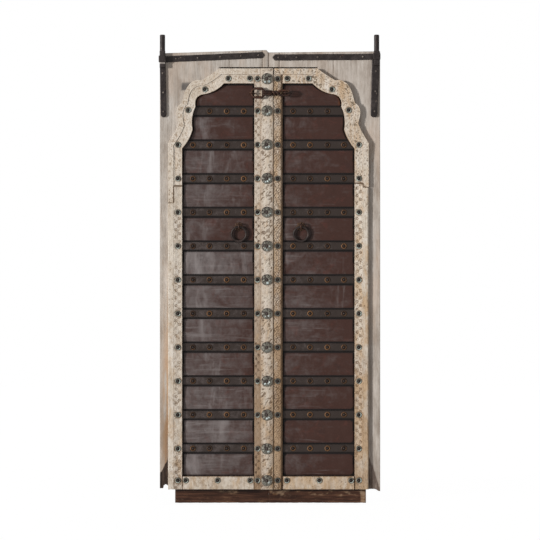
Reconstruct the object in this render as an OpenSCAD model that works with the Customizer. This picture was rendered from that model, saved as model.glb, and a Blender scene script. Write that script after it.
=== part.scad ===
// Antique pair of plank door leaves with iron-clad panels, carved arch trim,
// pivot irons, ring pulls and a latch chain. Front faces -Y, +Z is up.

/* [Leaves] */
// Width of the left leaf from the meeting line to its outer edge
left_leaf_w = 488; // [475:1:560]
// Width of the right leaf from the meeting line to its outer edge
right_leaf_w = 502; // [475:1:560]
// Gap between the meeting edges
meeting_gap = 0.8; // [0.8:0.2:6]
// Thickness of the planks
plank_t = 34; // [28:1:50]
// Open seam between two planks
plank_seam = 1.2; // [0.4:0.2:3]
// Width of the left leaf's narrow edge plank
left_edge_plank_w = 27; // [22:1:34]
// Width of the left leaf's inner plank
left_inner_plank_w = 148; // [120:1:154]
// Width of the right leaf's narrow edge plank
right_edge_plank_w = 50; // [47:1:70]
// Width of the right leaf's middle plank
right_middle_plank_w = 242; // [225:1:270]
// Height of the left planks' lower ends
left_foot_z = 70; // [50:1:80]
// Height of the right planks' lower ends
right_foot_z = 66; // [45:1:80]
// Height of the left leaf's top at the meeting line
left_top_inner_z = 2040; // [2034:1:2060]
// Height of the left leaf's top at its outer edge
left_top_outer_z = 2025; // [2014:1:2028]
// Height of the right leaf's top at the meeting line
right_top_inner_z = 2029; // [2024:1:2060]
// Height of the right leaf's top at its outer edge
right_top_outer_z = 2034; // [2026:1:2034]
// Height of the open line above the trim
kerf_h = 7.5; // [2:0.5:8]
// Depth of the open line above the trim
kerf_d = 8; // [3:0.5:14]
// Width of the rotted notch at the left leaf's foot
notch_w = 22; // [10:1:30]
// Height of the rotted notch at the left leaf's foot
notch_h = 16; // [6:1:30]
// Width of the split tip at the right leaf's foot
tip_w = 24; // [10:1:40]
// Drop of the split tip at the right leaf's foot
tip_h = 12; // [4:1:20]
// Height of the crack above the right leaf's foot
crack_h = 98; // [60:1:150]
// Distance of the crack's upper end from the leaf's edge
crack_top_in = 39; // [24:1:48]
// Distance of the crack's lower end from the leaf's edge
crack_foot_in = 7; // [5:1:20]
// Width of the crack
crack_w = 2.5; // [1:0.5:4]
// Depth of the crack
crack_d = 12; // [4:1:20]

/* [Ledges and bottom rails] */
// Height of a back ledge
ledge_h = 95; // [70:1:120]
// Thickness of a back ledge
ledge_t = 30; // [22:1:45]
// Distance of a ledge's end from the leaf's edge
ledge_end = 30; // [15:1:50]
// Thickness of the bottom rails
rail_t = 34; // [24:1:36]
// Height of the bottom rails
rail_h = 126; // [118:1:160]
// Length of the left bottom rail
left_rail_w = 421; // [380:1:450]
// Length of the right bottom rail
right_rail_w = 440; // [380:1:460]

/* [Carved trim] */
// Thickness of the trim boards
trim_t = 22; // [16:0.5:27]
// Height of the trim's outer band above its carved inner band
band_step = 3; // [1:0.5:6]
// Width of the outer trim
outer_trim_w = 63; // [58:1:70]
// Height of the bottom trim
bottom_trim_h = 58; // [50:1:70]
// Height of the trim's lower edge
trim_z0 = 67; // [56:1:70]
// Height of the trim's upper edge
trim_top_z = 1955; // [1945:1:1970]
// Height of the trim across the top
top_trim_h = 67; // [62:1:75]
// Drop of the arch's inner outline
arch_h = 292; // [275:1:310]
// Drop of the arch's outer outline
outer_arch_h = 335; // [320:1:350]
// Height of the left trim's joint below the arch
left_joint_z = 1428; // [1400:1:1440]
// Height of the right trim's joint below the arch
right_joint_z = 1440; // [1400:1:1442]
// Step in the left trim's joint
left_joint_step = 76; // [10:1:90]
// Step in the right trim's joint
right_joint_step = 18; // [5:1:90]
// Middle radius of a carved scroll
scroll_r = 9; // [7:0.25:9]
// Width of a carved scroll's groove
scroll_w = 3; // [2:0.25:4]
// Depth of the carving
carve_d = 2; // [1:0.25:3]
// Radius of a carved eye
eye_dot_r = 2.5; // [1.5:0.25:3]

/* [Iron panels] */
// Distance of the panels from the meeting line
stile_w = 63; // [61:1:75]
// Width of the panels
panel_w = 324; // [310:1:330]
// Thickness of the iron sheets
sheet_t = 1.6; // [1:0.1:2]
// Rise of a sheet between two straps
sheet_rise = 5; // [2:0.25:7]
// Space between two sheets under a strap
sheet_space = 12; // [8:0.5:16]
// Height of an iron strap
strap_h = 38; // [30:1:44]
// Thickness of an iron strap
strap_t = 4; // [3:0.25:6]
// Number of strap rows
rows = 11; // [9:1:11]
// Height of the lowest strap's middle
row_z0 = 250; // [240:1:256]
// Distance from strap to strap
row_pitch = 151.4; // [149:0.1:152]

/* [Studs] */
// Radius of a stud's washer
washer_r = 13.5; // [11:0.25:14]
// Thickness of a stud's washer
washer_t = 2; // [2:0.1:3]
// Radius of the bead round a washer
bead_r = 1.8; // [1:0.1:1.9]
// Radius of a stud's head
head_r = 6; // [4.5:0.25:7]
// Radius of a nail's shank
nail_r = 2.6; // [2:0.1:3.2]
// Depth of a trim nail in the plank
nail_bite = 24; // [14:1:26]
// Depth of a long nail in the bottom rail
rail_bite = 20; // [10:1:22]
// Length of a nail's bent end
clench_l = 16; // [8:1:24]
// Radius of the small nails in the pivot irons
small_head_r = 4.5; // [3:0.25:6]

/* [Cover strip] */
// Width of the cover strip on the left leaf
cover_left_w = 35; // [33:1:36]
// Lap of the cover strip over the right leaf
cover_lap = 21; // [18:1:24]
// Gap from the cover strip to the right leaf's trim
cover_gap = 4; // [2:0.5:6]
// Thickness of the cover strip
cover_t = 28; // [24:0.5:30]
// Relief behind the lap
lap_relief = 1; // [0.5:0.1:2]
// Width of the groove along each edge of the cover strip
flute_w = 2.5; // [1.5:0.25:4]
// Distance of that groove from the edge
flute_in = 6; // [4:0.5:9]
// Radius of a rosette
rosette_r = 25; // [20:0.5:26]
// Thickness of a rosette's plate
rosette_t = 3; // [2:0.25:5]
// Radius of a rosette's petal
petal_r = 7.5; // [6:0.25:8]
// Radius of a rosette's middle
rosette_heart_r = 8; // [6:0.25:9]
// Petals of a rosette
petals = 8; // [6:1:10]

/* [Pivot irons] */
// Distance of the left pivot axis from the leaf's outer edge
left_pivot_inset = 12.5; // [12.5:0.5:18]
// Distance of the right pivot axis from the leaf's outer edge
right_pivot_inset = 16.5; // [12.5:0.5:18]
// Radius of the pivot pin
pin_r = 12; // [9:0.5:12.5]
// Height of the pivot pin's top
pin_top_z = 2107; // [2085:1:2140]
// Chamfer at the pin's top
pin_chamfer = 3; // [1:0.5:4]
// Width and depth of the square shoulder under the pin
shoulder_w = 25; // [25:0.5:29]
// Height of the shoulder's top
shoulder_top_z = 2034; // [2034:1:2050]
// Width of the pivot bar
bar_w = 26; // [22:0.5:29]
// Thickness of the pivot bar
bar_t = 10; // [6:0.5:14]
// Height of the pivot bar's lower end
bar_foot_z = 1737; // [1680:1:1800]
// Lean of the left pivot bar in degrees
left_bar_lean = 1.2; // [0:0.1:2]
// Lean of the right pivot bar in degrees
right_bar_lean = 2.2; // [0:0.1:2.4]
// Height of a top strap
top_strap_h = 28; // [20:1:32]
// Thickness of a top strap and its collar
top_strap_t = 4; // [3:0.5:7]
// Distance of a top strap's end from the meeting line
top_strap_end = 18; // [14:1:40]
// Length of a top strap's point
top_strap_point = 9; // [3:1:12]
// Height of the left top strap at its pivot
left_strap_outer_z = 1998; // [1985:1:2002]
// Height of the left top strap at its point
left_strap_inner_z = 2017; // [1990:1:2018]
// Height of the right top strap at its pivot
right_strap_outer_z = 2009; // [1985:1:2010]
// Height of the right top strap at its point
right_strap_inner_z = 2006; // [1990:1:2008]

/* [Ring pulls] */
// Height of the ring pulls' eyes
ring_eye_z = 1246; // [1236:1:1252]
// Distance of the left ring pull from the meeting line
left_ring_u = 133; // [126:1:140]
// Distance of the right ring pull from the meeting line
right_ring_u = 146; // [138:1:152]
// Middle radius of a ring
ring_mid_r = 32.5; // [26:0.5:38]
// Radius of a ring's bar
ring_bar_r = 5; // [3.5:0.25:5]
// Lean of a hanging ring towards the sheets, in degrees
ring_lean = 10; // [0:1:11]
// Middle radius of a ring's eye
eye_mid_r = 11; // [10.5:0.25:13]
// Radius of the eye's bar
eye_bar_r = 4; // [3:0.25:4.5]
// Radius of the rose behind the eye
rose_r = 21; // [16:0.5:24]
// Radius of a lobe of the rose
rose_lobe_r = 6; // [4:0.25:7]
// Lobes of the rose
rose_lobes = 8; // [6:1:10]
// Thickness of the rose
rose_t = 3; // [2:0.25:5]

/* [Latch chain] */
// Height of the latch chain
latch_z = 1843; // [1838:1:1848]
// Distance of the left staple from the meeting line
left_staple_u = 76; // [76:0.5:84]
// Distance of the right staple from the meeting line
right_staple_u = 75; // [75:0.5:80]
// Bar radius of the staples
staple_bar_r = 3; // [2.5:0.25:3.25]
// Middle radius of a staple's bow
staple_mid_r = 7.5; // [7.5:0.25:8]
// Depth of the staples in the plank
staple_bite = 22; // [12:1:26]
// How far the right staple's bow stands in front of the chain
staple_reach = 10; // [9:0.5:16]
// Bar radius of the chain
link_bar_r = 4; // [3:0.25:4]
// Middle length of the oval link
link_l = 60; // [56:0.5:64]
// Middle height of the oval link
link_h = 40; // [34:0.5:46]
// Inner width of the long link's back loop
hasp_loop_w = 10; // [10:0.25:11]
// Middle length of the long link's back loop
hasp_loop_l = 34; // [30:0.5:36]
// Inner height of the long link's front loop
hasp_eye_h = 13; // [12:0.25:16]
// Room in the front loop at each side of the staple
hasp_slack = 5.5; // [5:0.25:7]
// Length of the front loop beyond its slack, towards the middle
hasp_spare = 9; // [6:0.5:12]
// Radius of the long link's middle
hasp_neck_r = 8; // [4.5:0.25:8.5]

/* [Hidden] */
$fn = 48;
// Facets of the sheets' flat curves
curve_fn = 720;
// Points along one stretch of the arch
arch_steps = 8;
// Overrun of every cut
over = 1;
// Clearance round a nail, a pin or a collar
fit_gap = 0.2;
// Clearance of a ring or link on its seat
seat_gap = 0.4;
// Clearance of the chain over the cover strip
chain_gap = 0.5;

// Strap studs across the panel, and rows that carry a back ledge
stud_shares = [0.148, 0.383, 0.623, 0.852];
ledge_row_shares = [0.1, 0.4, 0.7, 1];
// Arch outlines as shares of width and drop, with each stretch's bulge as a share of its chord
inner_arch_shares = [[0.42, 0], [0.679, 0.164], [0.815, 0.356], [0.855, 0.705], [1, 1]];
inner_bulge_shares = [0.08, -0.27, -0.08, 0.06];
outer_arch_shares = [[0.408, 0], [0.612, 0.16], [0.842, 0.466], [0.879, 0.734], [1, 1]];
outer_bulge_shares = [0.02, -0.22, -0.19, 0.03];
// Where the trim's outer band begins, from the inner outline
band_share = 0.6;
// Studs of the arch as shares of the panel's width and the arch's drop below the panel's top
arch_stud_shares = [[0.065, -0.075], [0.36, -0.075], [0.685, 0.092], [0.917, 0.411]];
// Studs of the outer, inner and bottom trim
outer_stud_share = 0.3;
left_inner_stud_share = 0.5;
right_inner_stud_share = 0.42;
bottom_stud_shares = [0.06, 0.51, 0.95];
bottom_stud_z_share = 0.7;
top_stud_share = 0.3;
// Bead of a washer, petals of a rosette and lobes of a rose from the middle
bead_share = 0.72;
petal_share = 0.62;
lobe_share = 0.72;
// Nails along a pivot bar and along a top strap
bar_nail_shares = [0.2, 0.55, 0.9];
top_nail_shares = [0.1, 0.32, 0.55, 0.76, 0.94];
// Scrolls in one bay between two rows of studs
scrolls = 6;

left_pivot_u = left_leaf_w - left_pivot_inset;
right_pivot_u = right_leaf_w - right_pivot_inset;
collar_reach = shoulder_w / 2 + fit_gap + top_strap_t;
left_reach = max(left_leaf_w, left_pivot_u + collar_reach);
right_reach = max(right_leaf_w, right_pivot_u + collar_reach);
meet_x = (left_reach - right_reach) / 2;
half_gap = meeting_gap / 2;
panel_end = stile_w + panel_w;
trim_end = panel_end + outer_trim_w;
panel_z0 = trim_z0 + bottom_trim_h;
panel_top_z = trim_top_z - top_trim_h;
band_y = -(trim_t - band_step);
lap_z = panel_top_z + band_share * top_trim_h;
band_u = panel_end + band_share * outer_trim_w;
strap_y = -(sheet_t + strap_t);
hole_r = nail_r + fit_gap;
back_of_ledge = plank_t + ledge_t;
latch_y = -(cover_t + chain_gap + hasp_loop_w / 2 + 2 * link_bar_r);
front_reach = -latch_y + staple_reach + staple_mid_r + staple_bar_r;
back_reach = max(back_of_ledge + 2 * nail_r, plank_t + rail_t);
face_y = (front_reach - back_reach) / 2;
sheet_front = sheet_t + sheet_rise;
pin_y = -shoulder_w / 2;
eye_y = -(sheet_front + fit_gap + rose_t + eye_mid_r + eye_bar_r);
ring_drop = eye_mid_r - eye_bar_r - ring_bar_r - seat_gap;
link_right_u = left_staple_u - link_l;
hasp_left_x = -link_right_u - 2 * link_bar_r - seat_gap;

function row_z(i) = row_z0 + i * row_pitch;
function ledge_row(k) = round(ledge_row_shares[k] * (rows - 1));
function is_ledge_row(i) = len([for (k = [0 : len(ledge_row_shares) - 1]) if (ledge_row(k) == i) k]) > 0;
function reversed(list) = [for (i = [len(list) - 1 : -1 : 0]) list[i]];
function bowed(a, b, bulge, t) =
    a + t * (b - a) + 4 * bulge * t * (1 - t) * [-(b - a).y, (b - a).x];
function outline(keys, bulges) = concat(
    [for (k = [0 : len(keys) - 2]) for (s = [0 : arch_steps - 1])
        bowed(keys[k], keys[k + 1], bulges[k], s / arch_steps)],
    [keys[len(keys) - 1]]);

inner_arch = outline(
    [for (p = inner_arch_shares) [stile_w + p.x * panel_w, panel_top_z - p.y * arch_h]],
    -inner_bulge_shares);
outer_arch = outline(
    [for (p = outer_arch_shares)
        [stile_w + p.x * (panel_w + outer_trim_w), trim_top_z - p.y * outer_arch_h]],
    -outer_bulge_shares);
band_arch = [for (i = [0 : len(inner_arch) - 1])
    inner_arch[i] + band_share * (outer_arch[i] - inner_arch[i])];

// Stud places as distance from the meeting line and height
strap_studs = [
    for (i = [0 : rows - 1])
        for (k = [0 : len(stud_shares) - 1])
            if (i < rows - 1 || k < len(stud_shares) - 1)
                [stile_w + stud_shares[k] * panel_w, row_z(i), i]
];
side_stud_u = panel_end + outer_stud_share * outer_trim_w;
band_studs = concat(
    [for (i = [0 : rows - 2]) [side_stud_u, row_z(i)]],
    [[side_stud_u, trim_z0 + bottom_stud_z_share * bottom_trim_h]],
    [for (p = arch_stud_shares) [stile_w + p.x * panel_w, panel_top_z - p.y * arch_h]]);
bottom_studs = [
    for (s = bottom_stud_shares)
        [stile_w + s * panel_w, trim_z0 + bottom_stud_z_share * bottom_trim_h]
];
function inner_studs(u) = concat(
    [for (i = [0 : rows - 1]) [u, row_z(i)]],
    [[u, panel_top_z + top_stud_share * top_trim_h]],
    [[u, trim_z0 + bottom_stud_z_share * bottom_trim_h]]);
right_trim_u = cover_lap + cover_gap;
left_inner_studs = inner_studs(cover_left_w + left_inner_stud_share * (stile_w - cover_left_w));
right_inner_studs = inner_studs(right_trim_u + right_inner_stud_share * (stile_w - right_trim_u));
rosette_u = (cover_left_w - cover_lap) / 2;
rosette_places = inner_studs(rosette_u);

// Nail places of the pivot irons
function bar_top_z(strap_z) = strap_z - top_strap_h / 2;
function bar_nails(pivot_u, strap_z, lean) = [
    for (s = bar_nail_shares)
        let (drop = s * (bar_top_z(strap_z) - bar_foot_z))
            [pivot_u - drop * sin(lean), bar_top_z(strap_z) - drop * cos(lean)]
];
function top_nails(pivot_u, outer_z, inner_z) = [
    for (s = top_nail_shares)
        let (u = pivot_u - collar_reach + s * (top_strap_end - pivot_u + collar_reach))
            [u, outer_z + s * (inner_z - outer_z)]
];
left_bar_nails = bar_nails(left_pivot_u, left_strap_outer_z, left_bar_lean);
right_bar_nails = bar_nails(right_pivot_u, right_strap_outer_z, right_bar_lean);
left_top_nails = top_nails(left_pivot_u, left_strap_outer_z, left_strap_inner_z);
right_top_nails = top_nails(right_pivot_u, right_strap_outer_z, right_strap_inner_z);

// Frames: u runs from the meeting line to a leaf's outer edge
module on_right()
    translate([meet_x, face_y, 0])
        children();
module on_left()
    translate([meet_x, face_y, 0])
        mirror([1, 0, 0])
            children();
// A flat shape drawn in u and z, made t thick behind the plane y = front
module slab(front, t)
    translate([0, front + t, 0])
        rotate([90, 0, 0])
            linear_extrude(t)
                children();
module box_uz(u0, u1, z0, z1)
    translate([u0, z0])
        square([u1 - u0, z1 - z0]);
// Round holes along Y
module drill(places, r, front, depth)
    for (p = places)
        translate([p.x, front, p.y])
            rotate([-90, 0, 0])
                cylinder(h = depth, r = r);
// A shape built along +Z set on a face that looks to -Y
module on_face(p, y)
    translate([p.x, y, p.y])
        rotate([90, 0, 0])
            children();

// Planks
module all_nail_holes(inner_studs_list, iron_places) {
    drill(strap_studs, hole_r, -over, plank_t + 2 * over);
    drill(concat(band_studs, inner_studs_list, iron_places), hole_r, -over, nail_bite + fit_gap + over);
    drill(bottom_studs, hole_r, -over, plank_t + 2 * over);
}
module plank(u0, u1, leaf_w, foot_z, inner_z, outer_z, studs, irons)
    difference() {
        slab(0, plank_t)
            polygon([
                [u0, foot_z],
                [u1, foot_z],
                [u1, inner_z + (outer_z - inner_z) * u1 / leaf_w],
                [u0, inner_z + (outer_z - inner_z) * u0 / leaf_w]
            ]);
        all_nail_holes(
            [for (p = studs) if (p.x > u0 && p.x < u1) p],
            [for (p = irons) if (p.x > u0 && p.x < u1) p]);
        slab(-over, kerf_d + over)
            box_uz(-over, outer_arch[0].x, trim_top_z, trim_top_z + kerf_h);
    }
left_irons = concat(left_bar_nails, left_top_nails);
right_irons = concat(right_bar_nails, right_top_nails);
left_seam_1 = left_edge_plank_w;
left_seam_2 = left_edge_plank_w + left_inner_plank_w;
right_seam_1 = right_edge_plank_w;
right_seam_2 = right_edge_plank_w + right_middle_plank_w;
half_seam = plank_seam / 2;
module left_plank(u0, u1)
    plank(u0, u1, left_leaf_w, left_foot_z, left_top_inner_z, left_top_outer_z,
        left_inner_studs, left_irons);
module right_plank(u0, u1)
    plank(u0, u1, right_leaf_w, right_foot_z, right_top_inner_z, right_top_outer_z,
        right_inner_studs, right_irons);
module staple_holes(u)
    for (s = [-1, 1])
        drill([[u + s * staple_mid_r, latch_z]], staple_bar_r + fit_gap, -over - sheet_front,
            staple_bite + fit_gap + over + sheet_front);
module eye_hole(u)
    drill([[u, ring_eye_z]], eye_bar_r + fit_gap, -over - sheet_front, plank_t + 2 * over + sheet_front);

module left_wide_plank()
    color("tan")
        difference() {
            left_plank(left_seam_2 + half_seam, left_leaf_w);
            slab(-over, plank_t + 2 * over)
                box_uz(trim_end, trim_end + notch_w, left_foot_z - over, left_foot_z + notch_h);
        }
module left_inner_plank()
    color("tan")
        difference() {
            left_plank(left_seam_1 + half_seam, left_seam_2 - half_seam);
            eye_hole(left_ring_u);
            staple_holes(left_staple_u);
        }
module left_edge_plank()
    color("tan")
        difference() {
            left_plank(half_gap, left_seam_1 - half_seam);
            drill(rosette_places, hole_r, -over, nail_bite + fit_gap + over);
        }
module right_edge_plank()
    color("tan")
        right_plank(half_gap, right_seam_1 - half_seam);
module right_middle_plank()
    color("tan")
        difference() {
            right_plank(right_seam_1 + half_seam, right_seam_2 - half_seam);
            eye_hole(right_ring_u);
            staple_holes(right_staple_u);
        }
module right_outer_plank()
    color("tan")
        difference() {
            union() {
                right_plank(right_seam_2 + half_seam, right_leaf_w);
                slab(0, plank_t)
                    polygon([
                        [right_leaf_w - tip_w, right_foot_z],
                        [right_leaf_w - tip_w, right_foot_z + over],
                        [right_leaf_w, right_foot_z + over],
                        [right_leaf_w, right_foot_z - tip_h]
                    ]);
            }
            slab(-over, crack_d + over)
                polygon([
                    [right_leaf_w - crack_top_in, right_foot_z + crack_h],
                    [right_leaf_w - crack_top_in + crack_w, right_foot_z + crack_h],
                    [right_leaf_w - crack_foot_in + crack_w, right_foot_z - tip_h - over],
                    [right_leaf_w - crack_foot_in, right_foot_z - tip_h - over]
                ]);
        }

// Ledges and bottom rails on the back
module ledge(k, leaf_w)
    color("sienna")
        difference() {
            slab(plank_t, ledge_t)
                box_uz(ledge_end, leaf_w - ledge_end,
                    row_z(ledge_row(k)) - ledge_h / 2, row_z(ledge_row(k)) + ledge_h / 2);
            drill([for (p = strap_studs) if (p[2] == ledge_row(k)) p], hole_r, plank_t - over,
                ledge_t + 2 * over);
        }
module bottom_rail(length)
    color("saddlebrown")
        difference() {
            slab(plank_t, rail_t)
                box_uz(half_gap, length, 0, rail_h);
            drill(bottom_studs, hole_r, plank_t - over, rail_bite + fit_gap + over);
        }

// Carved trim
module scroll(side)
    intersection() {
        difference() {
            circle(r = scroll_r + scroll_w / 2);
            circle(r = scroll_r - scroll_w / 2);
        }
        translate([side > 0 ? 0 : -(scroll_r + scroll_w), -(scroll_r + scroll_w)])
            square([scroll_r + scroll_w, 2 * (scroll_r + scroll_w)]);
    }
// One bay of running scrolls, centred on u, between two rows of studs
module scroll_bay(u, i)
    for (s = [0 : scrolls - 1])
        translate([u, (row_z(i) + row_z(i + 1)) / 2 + (s - (scrolls - 1) / 2) * 2 * scroll_r]) {
            scroll(s % 2 == 0 ? 1 : -1);
            circle(r = eye_dot_r);
        }
module carve(u, face, first, last)
    slab(face - over, carve_d + over)
        for (i = [first : last])
            scroll_bay(u, i);
// Rows whose bays lie wholly below a height
function rows_below(z) = floor((z - row_z0) / row_pitch);

module arch_trim(cover_u, joint_z, joint_step)
    color("antiquewhite")
        difference() {
            union() {
                slab(band_y, -band_y)
                    polygon(concat(
                        [[cover_u, trim_top_z]],
                        outer_arch,
                        [[trim_end, joint_z - joint_step], [band_u, joint_z - joint_step],
                            [band_u, joint_z], [panel_end, joint_z]],
                        reversed(inner_arch),
                        [[stile_w, panel_top_z], [stile_w, lap_z], [cover_u, lap_z]]));
                slab(-trim_t, trim_t)
                    polygon(concat(
                        [[cover_u, trim_top_z]],
                        outer_arch,
                        [[trim_end, joint_z - joint_step], [band_u, joint_z - joint_step]],
                        reversed(band_arch),
                        [[cover_u, lap_z]]));
            }
            drill(band_studs, hole_r, -trim_t - over, trim_t + 2 * over);
        }
module left_arch_trim()
    arch_trim(cover_left_w, left_joint_z, left_joint_step);
module right_arch_trim()
    arch_trim(right_trim_u, right_joint_z, right_joint_step);
module outer_trim(joint_z, joint_step)
    color("antiquewhite")
        difference() {
            union() {
                slab(band_y, -band_y)
                    polygon([[panel_end, trim_z0], [trim_end, trim_z0], [trim_end, joint_z - joint_step],
                        [band_u, joint_z - joint_step], [band_u, joint_z], [panel_end, joint_z]]);
                slab(-trim_t, trim_t)
                    box_uz(band_u, trim_end, trim_z0, joint_z - joint_step);
            }
            drill(band_studs, hole_r, -trim_t - over, trim_t + 2 * over);
            carve((panel_end + band_u) / 2, band_y, 0, rows_below(joint_z) - 1);
        }
module inner_trim(cover_u, studs)
    color("antiquewhite")
        difference() {
            slab(-trim_t, trim_t)
                box_uz(cover_u, stile_w, trim_z0, lap_z);
            drill(studs, hole_r, -trim_t - over, trim_t + 2 * over);
            carve((cover_u + stile_w) / 2, -trim_t, 0, rows - 2);
        }
module bottom_trim()
    color("antiquewhite")
        difference() {
            slab(-trim_t, trim_t)
                box_uz(stile_w, panel_end, trim_z0, panel_z0);
            drill(bottom_studs, hole_r, -trim_t - over, trim_t + 2 * over);
        }
module cover_strip()
    color("antiquewhite")
        difference() {
            slab(-cover_t, cover_t)
                box_uz(-cover_lap, cover_left_w, trim_z0, trim_top_z);
            slab(-lap_relief, lap_relief + over)
                box_uz(-cover_lap - over, -half_gap, trim_z0 - over, trim_top_z + over);
            for (u = [flute_in - cover_lap, cover_left_w - flute_in])
                slab(-cover_t - over, carve_d + over)
                    box_uz(u - flute_w / 2, u + flute_w / 2, trim_z0 - over, trim_top_z + over);
            drill(rosette_places, hole_r, -cover_t - over, cover_t + 2 * over);
        }
module cover_rosettes()
    color("lightslategray")
        for (p = rosette_places)
            on_face(p, -cover_t) {
                rosette();
                translate([0, 0, -cover_t - nail_bite])
                    cylinder(h = cover_t + nail_bite + rosette_t, r = nail_r);
            }
module rosette() {
    cylinder(h = rosette_t, r = rosette_r);
    intersection() {
        union() {
            for (k = [0 : petals - 1])
                rotate([0, 0, k * 360 / petals])
                    translate([petal_share * rosette_r, 0, rosette_t])
                        sphere(r = petal_r);
            translate([0, 0, rosette_t])
                sphere(r = rosette_heart_r);
        }
        cylinder(h = rosette_t + 2 * rosette_heart_r, r = rosette_r);
    }
}

// Iron panels
module panel_opening()
    polygon(concat(
        [[stile_w, panel_z0], [panel_end, panel_z0]],
        reversed(inner_arch),
        [[stile_w, panel_top_z]]));
// A sheet's section in y and z: flat where the straps lie, risen between them
module sheet_section(z0, z1, low_edge, high_edge) {
    chord = z1 - z0;
    bend_r = (chord * chord / 4 + sheet_rise * sheet_rise) / (2 * sheet_rise);
    intersection() {
        translate([bend_r - sheet_front, (z0 + z1) / 2])
            difference() {
                circle(r = bend_r, $fn = curve_fn);
                circle(r = bend_r - sheet_t, $fn = curve_fn);
            }
        translate([-sheet_front - over, z0])
            square([sheet_front + over, chord]);
    }
    for (edge = [[z0 - low_edge, low_edge], [z1, high_edge]])
        if (edge[1] > 0)
            translate([-sheet_t, edge[0]])
                square([sheet_t, edge[1]]);
}
flange = (strap_h - sheet_space) / 2;
module sheet(i)
    translate([stile_w, 0, 0])
        rotate([90, 0, 90])
            linear_extrude(panel_w)
                sheet_section(
                    i == 0 ? panel_z0 : row_z(i - 1) + strap_h / 2,
                    i == rows ? panel_top_z : row_z(i) - strap_h / 2,
                    i == 0 ? 0 : flange,
                    i == rows ? 0 : flange);
module iron_sheets(ring_u, staple_u)
    color("#46322f")
        for (i = [0 : rows])
            difference() {
                intersection() {
                    sheet(i);
                    slab(-sheet_front - over, sheet_front + over)
                        panel_opening();
                }
                eye_hole(ring_u);
                staple_holes(staple_u);
            }
module iron_straps()
    color("#3a3c3f")
        difference() {
            intersection() {
                slab(strap_y, strap_t)
                    panel_opening();
                for (i = [0 : rows - 1])
                    slab(strap_y - over, strap_t + 2 * over)
                        box_uz(stile_w - over, panel_end + over,
                            row_z(i) - strap_h / 2, row_z(i) + strap_h / 2);
            }
            drill(strap_studs, hole_r, strap_y - over, strap_t + 2 * over);
        }

// Studs
module washer()
    difference() {
        union() {
            cylinder(h = washer_t, r = washer_r);
            rotate_extrude()
                translate([bead_share * washer_r, washer_t])
                    circle(r = bead_r);
        }
        translate([0, 0, -over])
            cylinder(h = washer_t + 2 * over, r = hole_r);
    }
module dome(r)
    rotate_extrude()
        intersection() {
            circle(r = r);
            square(r);
        }
// A nail whose head sits at height seat and whose shank goes to depth below zero
module nail(r, seat, depth) {
    translate([0, 0, seat])
        dome(r);
    translate([0, 0, -depth])
        cylinder(h = depth + seat + nail_r, r = nail_r);
}
module clench(depth)
    translate([0, 0, -depth - nail_r])
        rotate([0, 90, 0]) {
            cylinder(h = clench_l, r = nail_r);
            sphere(r = nail_r);
        }
module strap_washers()
    color("peru")
        for (p = strap_studs)
            on_face(p, strap_y)
                washer();
module strap_nails()
    color("#241c1a")
        for (p = strap_studs) {
            depth = (is_ledge_row(p[2]) ? back_of_ledge : plank_t) - strap_y;
            on_face(p, strap_y) {
                nail(head_r, washer_t, depth + nail_r);
                clench(depth);
            }
        }
module trim_washers(studs)
    color("silver") {
        for (p = band_studs)
            on_face(p, band_y)
                washer();
        for (p = concat(studs, bottom_studs))
            on_face(p, -trim_t)
                washer();
    }
module trim_nails(studs)
    color("#3a342f") {
        for (p = band_studs)
            on_face(p, band_y)
                nail(head_r, washer_t, nail_bite - band_y);
        for (p = studs)
            on_face(p, -trim_t)
                nail(head_r, washer_t, nail_bite + trim_t);
        for (p = bottom_studs)
            on_face(p, -trim_t)
                nail(head_r, washer_t, plank_t + rail_bite + trim_t);
    }

// Pivot irons
module pivot_iron(pivot_u, strap_z, lean)
    color("#2e2a28")
        difference() {
            union() {
                translate([pivot_u, 0, bar_top_z(strap_z)])
                    rotate([0, lean, 0])
                        slab(-bar_t, bar_t) {
                            box_uz(-bar_w / 2, bar_w / 2,
                                bar_foot_z - bar_top_z(strap_z) + bar_w / 2, -bar_t / 2);
                            translate([0, bar_foot_z - bar_top_z(strap_z) + bar_w / 2])
                                circle(d = bar_w);
                        }
                translate([pivot_u - shoulder_w / 2, -shoulder_w, bar_top_z(strap_z) - shoulder_w])
                    cube([shoulder_w, shoulder_w, shoulder_top_z - bar_top_z(strap_z) + shoulder_w]);
                translate([pivot_u, pin_y, shoulder_top_z - over])
                    cylinder(h = pin_top_z - pin_chamfer - shoulder_top_z + over, r = pin_r);
                translate([pivot_u, pin_y, pin_top_z - pin_chamfer])
                    cylinder(h = pin_chamfer, r1 = pin_r, r2 = pin_r - pin_chamfer);
            }
            drill(bar_nails(pivot_u, strap_z, lean), hole_r, -bar_t - over, bar_t + 2 * over);
        }
module left_pivot_iron()
    pivot_iron(left_pivot_u, left_strap_outer_z, left_bar_lean);
module right_pivot_iron()
    pivot_iron(right_pivot_u, right_strap_outer_z, right_bar_lean);
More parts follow.
